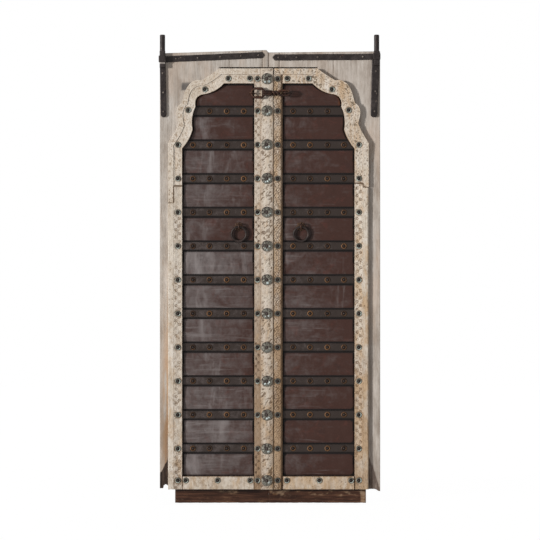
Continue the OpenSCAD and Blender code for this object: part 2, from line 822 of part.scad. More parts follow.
module top_strap(pivot_u, outer_z, inner_z)
    color("#2b2827")
        difference() {
            union() {
                slab(-top_strap_t, top_strap_t)
                    polygon([
                        [pivot_u - collar_reach, outer_z - top_strap_h / 2],
                        [pivot_u - collar_reach, outer_z + top_strap_h / 2],
                        [top_strap_end + top_strap_point, inner_z + top_strap_h / 2],
                        [top_strap_end, inner_z],
                        [top_strap_end + top_strap_point, inner_z - top_strap_h / 2]
                    ]);
                slab(-shoulder_w - fit_gap - top_strap_t, shoulder_w + fit_gap + top_strap_t)
                    box_uz(pivot_u - collar_reach, pivot_u + collar_reach,
                        outer_z - top_strap_h / 2, outer_z + top_strap_h / 2);
            }
            slab(-shoulder_w - fit_gap, shoulder_w + fit_gap + over)
                box_uz(pivot_u - shoulder_w / 2 - fit_gap, pivot_u + shoulder_w / 2 + fit_gap,
                    outer_z - top_strap_h, outer_z + top_strap_h);
            drill(top_nails(pivot_u, outer_z, inner_z), hole_r, -top_strap_t - over,
                top_strap_t + 2 * over);
        }
module left_top_strap()
    top_strap(left_pivot_u, left_strap_outer_z, left_strap_inner_z);
module right_top_strap()
    top_strap(right_pivot_u, right_strap_outer_z, right_strap_inner_z);
module iron_nails(bar_places, top_places)
    color("#1f1c1b") {
        for (p = bar_places)
            on_face(p, -bar_t)
                nail(small_head_r, 0, nail_bite + bar_t);
        for (p = top_places)
            on_face(p, -top_strap_t)
                nail(small_head_r, 0, nail_bite + top_strap_t);
    }

// Ring pulls
module ring_rose(u)
    color("#5a3a26")
        on_face([u, ring_eye_z], -sheet_front - fit_gap)
            difference() {
                union() {
                    cylinder(h = rose_t, r = lobe_share * rose_r);
                    for (k = [0 : rose_lobes - 1])
                        rotate([0, 0, k * 360 / rose_lobes])
                            translate([rose_r - rose_lobe_r, 0, 0])
                                cylinder(h = rose_t, r = rose_lobe_r);
                }
                translate([0, 0, -over])
                    cylinder(h = rose_t + 2 * over, r = eye_bar_r + fit_gap);
            }
module ring_eye(u)
    color("#4a2f22")
        translate([u, eye_y, ring_eye_z]) {
            rotate([0, 90, 0])
                rotate_extrude()
                    translate([eye_mid_r, 0])
                        circle(r = eye_bar_r);
            translate([0, eye_mid_r, 0])
                rotate([-90, 0, 0])
                    cylinder(h = plank_t - eye_y - eye_mid_r + eye_bar_r, r = eye_bar_r);
            translate([0, plank_t - eye_y + eye_bar_r, 0])
                rotate([0, 90, 0]) {
                    cylinder(h = clench_l, r = eye_bar_r);
                    sphere(r = eye_bar_r);
                }
        }
module ring(u)
    color("#38302c")
        translate([u, eye_y, ring_eye_z - ring_drop])
            rotate([ring_lean, 0, 0])
                translate([0, 0, -ring_mid_r])
                    rotate([90, 0, 0])
                        rotate_extrude()
                            translate([ring_mid_r, 0])
                                circle(r = ring_bar_r);

// Latch chain
module bow(mid_r, bar_r)
    rotate_extrude(angle = 180)
        translate([mid_r, 0])
            circle(r = bar_r);
// A closed loop in x and y whose bows' middles lie from x = 0 to x = length
module wire_loop(length, mid_r, bar_r) {
    translate([length - mid_r, 0, 0])
        rotate([0, 0, -90])
            bow(mid_r, bar_r);
    translate([mid_r, 0, 0])
        rotate([0, 0, 90])
            bow(mid_r, bar_r);
    for (s = [-1, 1])
        translate([mid_r, s * mid_r, 0])
            rotate([0, 90, 0])
                cylinder(h = length - 2 * mid_r, r = bar_r);
}
module staple(u, bow_y)
    color("#4d3020")
        translate([u, bow_y, latch_z]) {
            rotate([0, 0, 180])
                bow(staple_mid_r, staple_bar_r);
            for (s = [-1, 1])
                translate([s * staple_mid_r, 0, 0])
                    rotate([-90, 0, 0])
                        cylinder(h = staple_bite - bow_y, r = staple_bar_r);
        }
module latch_link()
    color("#50301f")
        translate([-left_staple_u, latch_y, latch_z])
            rotate([90, 0, 0])
                wire_loop(link_l, link_h / 2, link_bar_r);
hasp_back_r = hasp_loop_w / 2 + link_bar_r;
hasp_eye_r = hasp_eye_h / 2 + link_bar_r;
staple_half_w = staple_mid_r + staple_bar_r;
hasp_eye_x0 = right_staple_u - staple_half_w - hasp_slack - hasp_spare - link_bar_r;
hasp_eye_x1 = right_staple_u + staple_half_w + hasp_slack + link_bar_r;
module latch_hasp()
    color("#50301f")
        translate([0, latch_y, latch_z]) {
            translate([hasp_left_x, 0, 0])
                wire_loop(hasp_loop_l, hasp_back_r, link_bar_r);
            translate([hasp_left_x + hasp_loop_l, 0, 0])
                rotate([0, 90, 0])
                    cylinder(h = hasp_eye_x0 - hasp_left_x - hasp_loop_l, r = hasp_neck_r);
            translate([hasp_eye_x0, 0, 0])
                rotate([90, 0, 0])
                    wire_loop(hasp_eye_x1 - hasp_eye_x0, hasp_eye_r, link_bar_r);
        }

// Left leaf
on_left() left_wide_plank();
on_left() left_inner_plank();
on_left() left_edge_plank();
on_left() ledge(0, left_leaf_w);  // left_ledge_1
on_left() ledge(1, left_leaf_w);  // left_ledge_2
on_left() ledge(2, left_leaf_w);  // left_ledge_3
on_left() ledge(3, left_leaf_w);  // left_ledge_4
on_left() bottom_rail(left_rail_w);  // left_bottom_rail
on_left() left_arch_trim();
on_left() outer_trim(left_joint_z, left_joint_step);  // left_outer_trim
on_left() inner_trim(cover_left_w, left_inner_studs);  // left_inner_trim
on_left() bottom_trim();  // left_bottom_trim
on_left() cover_strip();
on_left() cover_rosettes();
on_left() iron_sheets(left_ring_u, left_staple_u);  // left_iron_sheets
on_left() iron_straps();  // left_iron_straps
on_left() strap_washers();  // left_strap_washers
on_left() strap_nails();  // left_strap_nails
on_left() trim_washers(left_inner_studs);  // left_trim_washers
on_left() trim_nails(left_inner_studs);  // left_trim_nails
on_left() left_pivot_iron();
on_left() left_top_strap();
on_left() iron_nails(left_bar_nails, left_top_nails);  // left_iron_nails
on_left() ring_rose(left_ring_u);  // left_ring_rose
on_left() ring_eye(left_ring_u);  // left_ring_eye
on_left() ring(left_ring_u);  // left_ring
on_left() staple(left_staple_u, latch_y);  // left_latch_staple
on_right() latch_link();
on_right() latch_hasp();
// Right leaf
on_right() right_edge_plank();
on_right() right_middle_plank();
on_right() right_outer_plank();
on_right() ledge(0, right_leaf_w);  // right_ledge_1
on_right() ledge(1, right_leaf_w);  // right_ledge_2
on_right() ledge(2, right_leaf_w);  // right_ledge_3
on_right() ledge(3, right_leaf_w);  // right_ledge_4
on_right() bottom_rail(right_rail_w);  // right_bottom_rail
on_right() right_arch_trim();
on_right() outer_trim(right_joint_z, right_joint_step);  // right_outer_trim
on_right() inner_trim(right_trim_u, right_inner_studs);  // right_inner_trim
on_right() bottom_trim();  // right_bottom_trim
on_right() iron_sheets(right_ring_u, right_staple_u);  // right_iron_sheets
on_right() iron_straps();  // right_iron_straps
on_right() strap_washers();  // right_strap_washers
on_right() strap_nails();  // right_strap_nails
on_right() trim_washers(right_inner_studs);  // right_trim_washers
on_right() trim_nails(right_inner_studs);  // right_trim_nails
on_right() right_pivot_iron();
on_right() right_top_strap();
on_right() iron_nails(right_bar_nails, right_top_nails);  // right_iron_nails
on_right() ring_rose(right_ring_u);  // right_ring_rose
on_right() ring_eye(right_ring_u);  // right_ring_eye
on_right() ring(right_ring_u);  // right_ring
on_right() staple(right_staple_u, latch_y - staple_reach);  // right_latch_staple
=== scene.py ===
import math
import bpy
import numpy as np
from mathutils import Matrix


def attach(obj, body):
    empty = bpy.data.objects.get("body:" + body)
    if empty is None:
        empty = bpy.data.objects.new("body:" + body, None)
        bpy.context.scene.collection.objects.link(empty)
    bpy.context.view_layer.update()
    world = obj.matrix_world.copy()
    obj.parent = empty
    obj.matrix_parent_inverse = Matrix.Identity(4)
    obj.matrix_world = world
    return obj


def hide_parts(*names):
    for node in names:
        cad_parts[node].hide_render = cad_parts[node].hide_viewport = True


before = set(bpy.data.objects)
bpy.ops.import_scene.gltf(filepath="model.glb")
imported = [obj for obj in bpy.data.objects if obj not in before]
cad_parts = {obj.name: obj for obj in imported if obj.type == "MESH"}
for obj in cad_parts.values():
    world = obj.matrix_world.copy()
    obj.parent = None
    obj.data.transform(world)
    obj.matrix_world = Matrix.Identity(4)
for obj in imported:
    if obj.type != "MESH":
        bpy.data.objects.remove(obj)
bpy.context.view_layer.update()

# Sizes in millimetres: u runs from the meeting line to a leaf's outer edge,
# y from the planks' front face backwards, z up from the floor.
MM_PER_M = 1000
SIDE_OF = {"left": -1.0, "right": 1.0}
MEET_X, FACE_Y = -5.0, -3.6
LEFT_W, RIGHT_W = 488.0, 502.0
PLANK_T, LEDGE_T, RAIL_T = 34.0, 30.0, 34.0
LEFT_SEAMS, RIGHT_SEAMS = (27.0, 175.0), (50.0, 292.0)
HAIRLINE, MEET_GAP, CUP = 0.05, 0.02, 4.5
LEDGE_ROWS, LEDGE_H, LEDGE_INSET = (1, 4, 7, 10), 95.0, 30.0
RAIL_H, RAIL_END = 126.0, {"left": 421.0, "right": 440.0}
LEFT_FOOT_Z, RIGHT_FOOT_Z, LEFT_TOP_Z, RIGHT_TOP_Z = 70.0, 66.0, 2040.0, 2029.0
NOTCH_U0, NOTCH_U1, ROT_U, ROT_Z = 449.0, 474.0, 452.0, 205.0
TIP_W, CRACK_U, CRACK_Z = 26.0, RIGHT_W - 35.0, 168.0
TENON_U0, TENON_U1, TENON_Z0, TENON_Z1 = 347.0, 389.0, 1854.0, 1890.0
TRIM_T, BAND_STEP, COVER_T = 22.0, 3.0, 28.0
BAND_FRONT = -(TRIM_T - BAND_STEP)
TRIM_Z0, TRIM_TOP, TOP_TRIM_H, BOTTOM_TRIM_H = 67.0, 1955.0, 67.0, 58.0
STILE_W, PANEL_W, OUTER_TRIM_W = 63.0, 324.0, 63.0
PANEL_END = STILE_W + PANEL_W
TRIM_END = PANEL_END + OUTER_TRIM_W
PANEL_Z0, PANEL_TOP = TRIM_Z0 + BOTTOM_TRIM_H, TRIM_TOP - TOP_TRIM_H
PANEL_GAP = 0.4
ARCH_H, OUTER_ARCH_H = 292.0, 335.0
KERF_H, KERF_DEPTH = 7.5, 8.0
KERF_END = {"left": 214.0, "right": 221.0}
BAND_SHARE = 0.6
BAND_U = PANEL_END + BAND_SHARE * OUTER_TRIM_W
LAP_Z = PANEL_TOP + BAND_SHARE * TOP_TRIM_H
ROWS, ROW_Z0, ROW_PITCH = 11, 250.0, 151.4
SHEET_T, SHEET_RISE = 1.6, 5.0
STRAP_H, STRAP_T = 38.0, 4.0
STRAP_FRONT = -(SHEET_T + STRAP_T)
WASHER_R, WASHER_T, HEAD_R, SMALL_HEAD_R, NAIL_R = 13.5, 2.0, 6.0, 4.5, 2.6
COVER_LEFT, COVER_LAP, RIGHT_TRIM_U = 35.0, 21.0, 25.0
TRIM_JOINT_Z, TRIM_JOINT_DROP = {"left": 1428.0, "right": 1440.0}, {"left": 76.0, "right": 18.0}
PIVOT_U = {"left": LEFT_W - 12.5, "right": RIGHT_W - 16.5}
PIN_R, PIN_TOP, SHOULDER, SHOULDER_TOP = 12.0, 2107.0, 25.0, 2034.0
BAR_W, BAR_T, BAR_FOOT = 26.0, 10.0, 1737.0
TOP_STRAP_H, TOP_STRAP_T, TOP_STRAP_END, COLLAR_FIT = 28.0, 4.0, 18.0, 0.2
COLLAR_REACH = SHOULDER / 2 + COLLAR_FIT + TOP_STRAP_T
# Heights of a top strap's middle at its outer and its inner end
TOP_STRAP_Z = {"left": (1998.0, 2017.0), "right": (2009.0, 2006.0)}
EYE_Z, RING_MID, RING_BAR, EYE_MID, EYE_BAR = 1246.0, 32.5, 5.0, 11.0, 4.0
ROSE_Y = -(SHEET_T + SHEET_RISE + 0.2)
EYE_Y = -(SHEET_T + SHEET_RISE + 0.2 + 3.0 + EYE_MID + EYE_BAR)
RING_Z = EYE_Z - (EYE_MID - EYE_BAR - RING_BAR - 0.4) - RING_MID
RING_LEAN = math.radians(10)
RING_U = {"left": 133.0, "right": 146.0}
LATCH_Z, LATCH_Y = 1843.0, -41.5
STAPLE_BAR, STAPLE_MID, STAPLE_BITE, LINK_BAR, LINK_MID = 3.0, 7.5, 22.0, 4.0, 20.0
LEFT_STAPLE_U, RIGHT_STAPLE_U, HASP_EYE_MID = 76.0, 75.0, 10.5


def row_z(i):
    """The height of a strap's middle, counted from the floor up."""
    return ROW_Z0 + i * ROW_PITCH


# Seeded noise for the hand-worked shapes

def lattice(ix, iy, iz, seed):
    """A fixed number from 0 to 1 for each cell corner."""
    h = (ix * 374761393 + iy * 668265263 + iz * 1274126177 + seed * 1911520717) & 0x7FFFFFFF
    h = ((h ^ (h >> 13)) * 1103515245) & 0x7FFFFFFF
    h = ((h ^ (h >> 15)) * 12820163) & 0x7FFFFFFF
    return ((h ^ (h >> 16)) & 0xFFFFFF) / 0xFFFFFF


def noise(x, y, z, seed):
    """Smooth noise from 0 to 1 at points given in cells."""
    x, y, z = np.broadcast_arrays(np.asarray(x, float), np.asarray(y, float), np.asarray(z, float))
    ix, iy, iz = (np.floor(a).astype(np.int64) for a in (x, y, z))
    fx, fy, fz = (a - np.floor(a) for a in (x, y, z))
    fx, fy, fz = (f * f * (3 - 2 * f) for f in (fx, fy, fz))
    total = 0.0
    for dx in (0, 1):
        for dy in (0, 1):
            for dz in (0, 1):
                weight = (fx if dx else 1 - fx) * (fy if dy else 1 - fy) * (fz if dz else 1 - fz)
                total = total + weight * lattice(ix + dx, iy + dy, iz + dz, seed)
    return total


def cloud(x, y, z, seed):
    """Three layers of noise, each finer and weaker than the last."""
    total, size, weight = 0.0, 1.0, 0.5
    for k in range(3):
        total = total + weight * noise(x * size, y * size, z * size, seed + 17 * k)
        size, weight = size * 2.03, weight * 0.5
    return total / (1 - weight * 2)


def smooth(a, b, x):
    """A soft step from 0 at a to 1 at b."""
    t = np.clip((x - a) / (b - a), 0, 1)
    return t * t * (3 - 2 * t)


def most(*values):
    """The largest of several values at each point."""
    return np.maximum.reduce(np.broadcast_arrays(*values))


def least(*values):
    """The smallest of several values at each point."""
    return np.minimum.reduce(np.broadcast_arrays(*values))


def bell(distance, width):
    """1 in the middle, fading on both sides within about a width."""
    return np.exp(-(distance / width) ** 2)


def near(gap, reach):
    """1 at an edge, fading inwards within about a reach."""
    return np.exp(-np.maximum(gap, 0) / reach)


# Shells: points in u, y, z, faces, and what the finish reads at each point

class Shell:
    """A closed surface: hollow is dirt and dark joints, and on some pieces painted shade; edge is wear, and
    on washers and rosettes a painted highlight; tint is what else a finish reads, painted sheen and painted
    shade among it.
    """
    def __init__(self, points, faces, hollow=0.0, edge=0.0, tint=0.5):
        self.points = np.asarray(points, float)
        self.faces = [tuple(f) for f in faces]
        n = len(self.points)
        self.hollow, self.edge, self.tint = (np.broadcast_to(a, (n,)) for a in (hollow, edge, tint))

    def moved(self, u, y, z):
        self.points = self.points + np.array([u, y, z])
        return self


def spread(a, b, step, lip=(0.7, 2.2)):
    """Places from a to b, close together at both ends so that an arris can be rounded."""
    inner = np.linspace(a + lip[1], b - lip[1], max(2, int(round((b - a - 2 * lip[1]) / step)) + 1))
    return np.concatenate([[a, a + lip[0]], inner, [b - lip[0], b]])


def arris(distance, radius):
    """How far a worn edge falls away at a distance from it."""
    d = np.clip(distance, 0, radius)
    return radius - np.sqrt(np.maximum(radius ** 2 - (radius - d) ** 2, 0))


def quads(rows, cols, start=0):
    """The faces of a grid of points."""
    i, j = np.meshgrid(np.arange(rows - 1), np.arange(cols - 1), indexing="ij")
    a = start + i * cols + j
    return np.stack([a, a + 1, a + cols + 1, a + cols], -1).reshape(-1, 4)


def board(U, Z, front, back, hollow=0.0, edge=0.0, tint=0.5):
    """A closed board over a grid: a worked front, square sides, and a back that is flat or worked.

    A worked back takes over the front's wear but not its dirt and painted shade."""
    rows, cols = U.shape
    n = rows * cols
    index = np.arange(n).reshape(rows, cols)
    rim = np.concatenate([index[0, :-1], index[:-1, -1], index[-1, :0:-1], index[:0:-1, 0]])
    points = np.stack([U, front, Z], -1).reshape(-1, 3)
    faces = [tuple(f) for f in quads(rows, cols)]
    hollow, edge, tint = (np.broadcast_to(a, U.shape).reshape(-1) for a in (hollow, edge, tint))
    if np.ndim(back):
        behind = np.stack([U, back, Z], -1).reshape(-1, 3)
        faces += [tuple(f[::-1]) for f in quads(rows, cols, n)]
        far = rim + n
        rest = 0.0 * hollow, np.maximum(edge, 0), np.maximum(tint, 0)
    else:
        behind = points[rim].copy()
        behind[:, 1] = back
        far = n + np.arange(len(rim))
        faces.append(tuple(far))
        rest = hollow[rim], edge[rim], tint[rim]
    points = np.concatenate([points, behind])
    turn = np.roll(np.arange(len(rim)), -1)
    faces += list(zip(rim, far, far[turn], rim[turn]))
    return Shell(points, faces, *(np.concatenate(pair) for pair in zip((hollow, edge, tint), rest)))


def tube(path, radius, sides, closed=False, seed=0, rough=0.0):
    """A bar of round iron along a path, with a hammered skin."""
    path = np.asarray(path, float)
    n = len(path)
    radius = np.broadcast_to(radius, (n,))
    ahead = np.roll(path, -1, 0) if closed else np.concatenate([path[1:], path[-1:]])
    behind = np.roll(path, 1, 0) if closed else np.concatenate([path[:1], path[:-1]])
    along = ahead - behind
    along /= np.linalg.norm(along, axis=1)[:, None]
    side = np.zeros_like(along)
    guess = np.array([0.0, 1.0, 0.0]) if abs(along[0][1]) < 0.9 else np.array([1.0, 0.0, 0.0])
    for k in range(n):
        guess = guess - along[k] * guess.dot(along[k])
        guess /= np.linalg.norm(guess)
        side[k] = guess
    other = np.cross(along, side)
    angle = np.linspace(0, 2 * math.pi, sides, endpoint=False)
    out = side[:, None] * np.cos(angle)[None, :, None] + other[:, None] * np.sin(angle)[None, :, None]
    r = radius[:, None] * np.ones(sides)
    if rough:
        p = path[:, None] + out * r[..., None]
        r = r + rough * (cloud(p[..., 0] / 5, p[..., 1] / 5, p[..., 2] / 5, seed) - 0.55) * 2
    points = (path[:, None] + out * r[..., None]).reshape(-1, 3)
    faces = []
    for k in range(n if closed else n - 1):
        a, b = k * sides, ((k + 1) % n) * sides
        faces += [(a + j, a + (j + 1) % sides, b + (j + 1) % sides, b + j) for j in range(sides)]
    if not closed:
        faces += [tuple(range(sides))[::-1], tuple(range((n - 1) * sides, n * sides))]
    return Shell(points, faces)


def disc(profile, sides, relief, dirt=None):
    """A turned piece on the axis -y: profile is a list of radius and height, relief is added to it."""
    profile = np.asarray(profile, float)
    angle = np.linspace(0, 2 * math.pi, sides, endpoint=False)
    R, A = np.meshgrid(profile[1:, 0], angle, indexing="ij")
    H = profile[1:, 1][:, None] + relief(R, A)
    middle = np.zeros(1)
    points = [[0, -(profile[0, 1] + relief(middle, middle)[0]), 0]]
    points = np.concatenate([points, np.stack([R * np.cos(A), -H, R * np.sin(A)], -1).reshape(-1, 3)])
    rings = len(profile) - 1
    faces = [(0, 1 + j, 1 + (j + 1) % sides) for j in range(sides)]
    for k in range(rings - 1):
        a, b = 1 + k * sides, 1 + (k + 1) * sides
        faces += [(a + j, b + j, b + (j + 1) % sides, a + (j + 1) % sides) for j in range(sides)]
    faces.append(tuple(range(1 + (rings - 1) * sides, 1 + rings * sides)))
    hollow = np.concatenate([dirt(middle, middle), dirt(R, A).reshape(-1)]) if dirt else 0.0
    return Shell(points, faces, hollow)


SHARP_ANGLE = math.radians(40)


def add_piece(name, side, shells, finish, body, nodes):
    """Joins shells into one piece that rides on a body and stands for its CAD nodes."""
    faces, first = [], 0
    for shell in shells:
        faces += [tuple(int(i) + first for i in f) for f in shell.faces]
        first += len(shell.points)
    points = np.concatenate([shell.points for shell in shells])
    points = points * np.array([SIDE_OF[side], 1, 1]) + np.array([MEET_X, FACE_Y, 0])
    if side == "left":
        faces = [f[::-1] for f in faces]
    mesh = bpy.data.meshes.new(name)
    mesh.from_pydata((points / MM_PER_M).tolist(), [], faces)
    for key in ("hollow", "edge", "tint"):
        layer = mesh.attributes.new(key, "FLOAT", "POINT")
        values = np.concatenate([getattr(shell, key) for shell in shells])
        layer.data.foreach_set("value", values.astype(np.float32))
    mesh.polygons.foreach_set("use_smooth", np.ones(len(mesh.polygons), bool))
    mesh.set_sharp_from_angle(angle=SHARP_ANGLE)
    mesh.materials.append(finish)
    mesh.validate()
    piece = bpy.data.objects.new(name, mesh)
    bpy.context.collection.objects.link(piece)
    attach(piece, body)
    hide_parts(*nodes)


# Finishes

def srgb(r, g, b):
    """A screen colour, from 0 to 255, as the linear light that shaders take."""
    return tuple(c / 12.92 if c <= 0.04045 else ((c + 0.055) / 1.055) ** 2.4
                 for c in (r / 255, g / 255, b / 255)) + (1.0,)


class Wire:
    """A shader socket that takes part in Python sums."""
    def __init__(self, wiring, socket):
        self.wiring, self.socket = wiring, socket

    def math(self, operation, *values):
        return self.wiring.node("ShaderNodeMath", {"operation": operation}, dict(enumerate(values)))

    def __add__(self, other):
        return self.math("ADD", self, other)

    __radd__ = __add__

    def __sub__(self, other):
        return self.math("SUBTRACT", self, other)

    def __rsub__(self, other):
        return self.math("SUBTRACT", other, self)

    def __mul__(self, other):
        return self.math("MULTIPLY", self, other)

    __rmul__ = __mul__


class Wiring:
    """A shader tree: every node comes from one method."""
    def __init__(self, tree):
        self.tree = tree

    def node(self, kind, settings, sockets, out=0):
        """Adds a node of a kind with its settings, feeds its sockets and gives back one output."""
        made = self.tree.nodes.new(kind)
        for key, value in settings.items():
            if key == "stops":
                ramp = made.color_ramp.elements
                while len(ramp) < len(value):
                    ramp.new(0.5)
                for element, (at, colour) in zip(ramp, value):
                    element.position, element.color = at, colour
            else:
                setattr(made, key, value)
        for key, value in sockets.items():
            if isinstance(value, Wire):
                self.tree.links.new(value.socket, made.inputs[key])
            else:
                made.inputs[key].default_value = value
        return Wire(self, made.outputs[out]) if made.outputs else None


class Finish(Wiring):
    """A procedural finish: its nodes, and the shader that they feed."""
    def __init__(self, name, **constants):
        self.material = bpy.data.materials.new(name)
        self.material.use_nodes = True
        super().__init__(self.material.node_tree)
        self.shader = next(n for n in self.tree.nodes if n.type == "BSDF_PRINCIPLED")
        for socket, value in constants.items():
            self.shader.inputs[socket.replace("_", " ")].default_value = value
        self.place = self.node("ShaderNodeTexCoord", {}, {}, "Object")

    def read(self, layer):
        return self.node("ShaderNodeAttribute", {"attribute_name": layer}, {}, "Fac")

    def height(self):
        return self.node("ShaderNodeSeparateXYZ", {}, {0: self.place}, "Z")

    def grain(self, cells, detail, rough, twist=0.0):
        """Noise: cells in a metre along x, y and z, with a shift that sets one noise off from another."""
        x, y, z, shift = cells if len(cells) == 4 else cells + (0.0,)
        scaled = self.node("ShaderNodeVectorMath", {"operation": "MULTIPLY"},
                           {0: self.place, 1: (x, y, z)})
        placed = self.node("ShaderNodeVectorMath", {"operation": "ADD"},
                           {0: scaled, 1: (shift, shift * 0.7, shift * 1.3)})
        return self.node("ShaderNodeTexNoise", {},
                         {"Vector": placed, "Scale": 1.0, "Detail": detail, "Roughness": rough,
                          "Distortion": twist}, "Fac")

    def step(self, value, low, high):
        return self.node("ShaderNodeMapRange", {"interpolation_type": "SMOOTHSTEP"},
                         {"Value": value, "From Min": low, "From Max": high})

    def ramp(self, value, *stops):
        return self.node("ShaderNodeValToRGB", {"stops": stops}, {"Fac": value}, "Color")

    def blend(self, share, first, second):
        return self.node("ShaderNodeMix", {"data_type": "RGBA"}, {0: share, 6: first, 7: second}, 2)

    def coat(self, share, colour):
        """Lays a colour over what the finish has so far."""
        self.colour = self.blend(share, self.colour, colour)

    def done(self, roughness, height, strength, distance, **others):
        """Feeds the shader, with a bump from height, and gives back the material."""
        bump = self.node("ShaderNodeBump", {},
                         {"Strength": strength, "Distance": distance, "Height": height}, "Normal")
        fed = {"Base Color": self.colour, "Roughness": roughness, "Normal": bump, **others}
        for socket, wire in fed.items():
            self.tree.links.new(wire.socket, self.shader.inputs[socket])
        return self.material


def limed_wood(name, warmth, cool):
    """Old planks under worn limewash, grain upright, browner where the wash is gone."""
    f = Finish(name, Specular_IOR_Level=0.2)
    streak = f.grain((190, 190, 7), 6, 0.65, 0.3)
    fine = f.grain((560, 560, 40), 4, 0.6)
    patch = f.grain((16, 16, 6), 5, 0.65)
    wash = f.step(0.32 * streak + 0.26 * fine + 0.5 * patch, 0.38, 0.74)
    f.colour = f.ramp(wash, *((at, srgb(r, g + cool, b + 1.6 * cool)) for at, r, g, b in (
        (0.0, 148, 135, 124), (0.4, 180, 169, 159), (0.7, 194, 184, 175), (1.0, 210, 203, 196))))
    fleck = f.step(f.grain((95, 95, 20, 12), 5, 0.66, 0.3), 0.60, 0.74)
    f.coat(fleck * 0.5, srgb(150, 121, 98))
    warm = f.step(f.grain((11, 11, 3, 9.0), 4, 0.55) + warmth, 0.50, 0.74)
    f.coat(warm * 0.4, srgb(196, 172, 152))
    crack = f.step(f.grain((170, 170, 4, 3.1), 3, 0.55), 0.66, 0.74)
    f.coat(crack * 0.55, srgb(108, 91, 79))
    f.coat(f.read("tint") * 0.85, srgb(172, 132, 90))
    f.coat(f.step(f.read("tint"), 0.0, -1.0) * 0.9, srgb(88, 85, 84))
    # hollow darkens rot, the foot crack and a faint line beside the right trim; in the kerf above the trim
    # and at the meeting edge it is painted shade, near black.
    dark = f.ramp(streak, (0.3, srgb(46, 32, 28)), (0.7, srgb(94, 72, 61)))
    f.coat(f.read("hollow"), dark)
    f.coat(f.step(f.read("hollow"), 0.84, 0.98), srgb(16, 11, 10))
    f.coat(f.read("edge") * 0.45, srgb(136, 117, 101))
    return f.done(0.92 - 0.18 * wash, 0.6 * streak + 0.5 * fine - 0.8 * crack, 0.5, 0.0011)


def carved_cream(name, ochre, dirt, dirt_high, shift):
    """Carved boards under worn cream paint: dirt in the carving, ochre stains, dirtier near the floor."""
    f = Finish(name, Specular_IOR_Level=0.22)
    low = f.step(f.height(), 1.3, 0.1)
    patch = f.grain((16, 16, 9, shift), 5, 0.62)
    streak = f.grain((120, 120, 10, shift), 5, 0.6, 0.3)
    fine = f.grain((230, 230, 170, shift), 4, 0.6)
    f.colour = f.ramp(0.6 * patch + 0.4 * streak, (0.30, srgb(187, 172, 154)), (0.48, srgb(211, 200, 186)),
                      (0.68, srgb(227, 219, 210)))
    stain = f.step(f.grain((26, 26, 11, shift + 7), 5, 0.65, 0.4) + ochre + 0.10 * low, 0.52, 0.80)
    f.coat(stain * 0.75, srgb(188, 155, 116))
    # tint is dirt, and on the right inner trim painted shade towards its outer side as well.
    soil = f.step(f.read("tint") + 0.8 * (patch - 0.5) + 0.5 * (streak - 0.5), 0.22, 0.95)
    f.coat(soil * 0.85, srgb(138, 110, 83))
    grime = f.step(f.grain((60, 60, 30, shift + 2), 5, 0.65) + 0.10 * low, 0.52, 0.78)
    f.coat(grime * 0.5, srgb(150, 127, 104))
    speck = f.step(f.grain((85, 85, 70, shift + 4), 5, 0.7, 0.6), 0.48, 0.70)
    f.coat(speck * 0.5, srgb(150, 125, 99))
    deep = f.step(f.read("hollow") + 1.1 * (fine - 0.5), 0.36, 0.76)
    f.coat(deep * 0.85, f.blend(f.step(f.height(), 1.75, 1.1), dirt_high, dirt))
    worn = f.step(f.read("edge") + 0.6 * (fine - 0.5), 0.35, 0.85)
    f.coat(worn * 0.6, srgb(134, 103, 74))
    f.coat(f.step(f.read("hollow"), 1.1, 1.7) * 0.9, srgb(52, 37, 28))
    return f.done(0.72 + 0.2 * fine, fine + 0.4 * streak, 0.45, 0.0011)


def bare_wood(name, dark, mid, pale, lime):
    """Bare wood with its grain level, dusted and scuffed, with what is left of old limewash."""
    f = Finish(name, Specular_IOR_Level=0.2)
    streak = f.grain((4.5, 90, 90), 6, 0.62, 0.3)
    fine = f.grain((16, 400, 400), 4, 0.6)
    patch = f.grain((14, 30, 40, 5), 5, 0.65)
    f.colour = f.ramp(0.6 * streak + 0.4 * fine, (0.38, dark), (0.51, mid), (0.64, pale))
    scuff = f.step(patch + 0.35 * (fine - 0.5), 0.56, 0.72)
    f.coat(scuff * 0.5, srgb(122, 92, 68))
    bruise = f.step(f.grain((24, 60, 60, 15), 5, 0.65), 0.52, 0.70)
    f.coat(bruise * 0.45, dark)
    left_wash = f.step(f.read("tint") + 0.9 * (patch - 0.5) + 0.6 * (fine - 0.5), 0.30, 0.95)
    worn_wash = f.blend(f.step(patch, 0.42, 0.58), srgb(130, 92, 60), srgb(172, 146, 120))
    f.coat(left_wash * lime, worn_wash)
    glance = f.step(f.grain((30, 150, 110, 19), 4, 0.6), 0.60, 0.74)
    f.coat(glance * 0.35, srgb(136, 108, 88))
    # Painted shade: hollow is set only on the rails, near black where the planks' feet shade them.
    f.coat(f.read("hollow") * 0.95, srgb(14, 9, 8))
    f.coat(f.read("edge") * 0.35, srgb(96, 72, 56))
    return f.done(0.9 - 0.2 * streak, 0.7 * streak + 0.5 * fine, 0.6, 0.0012)


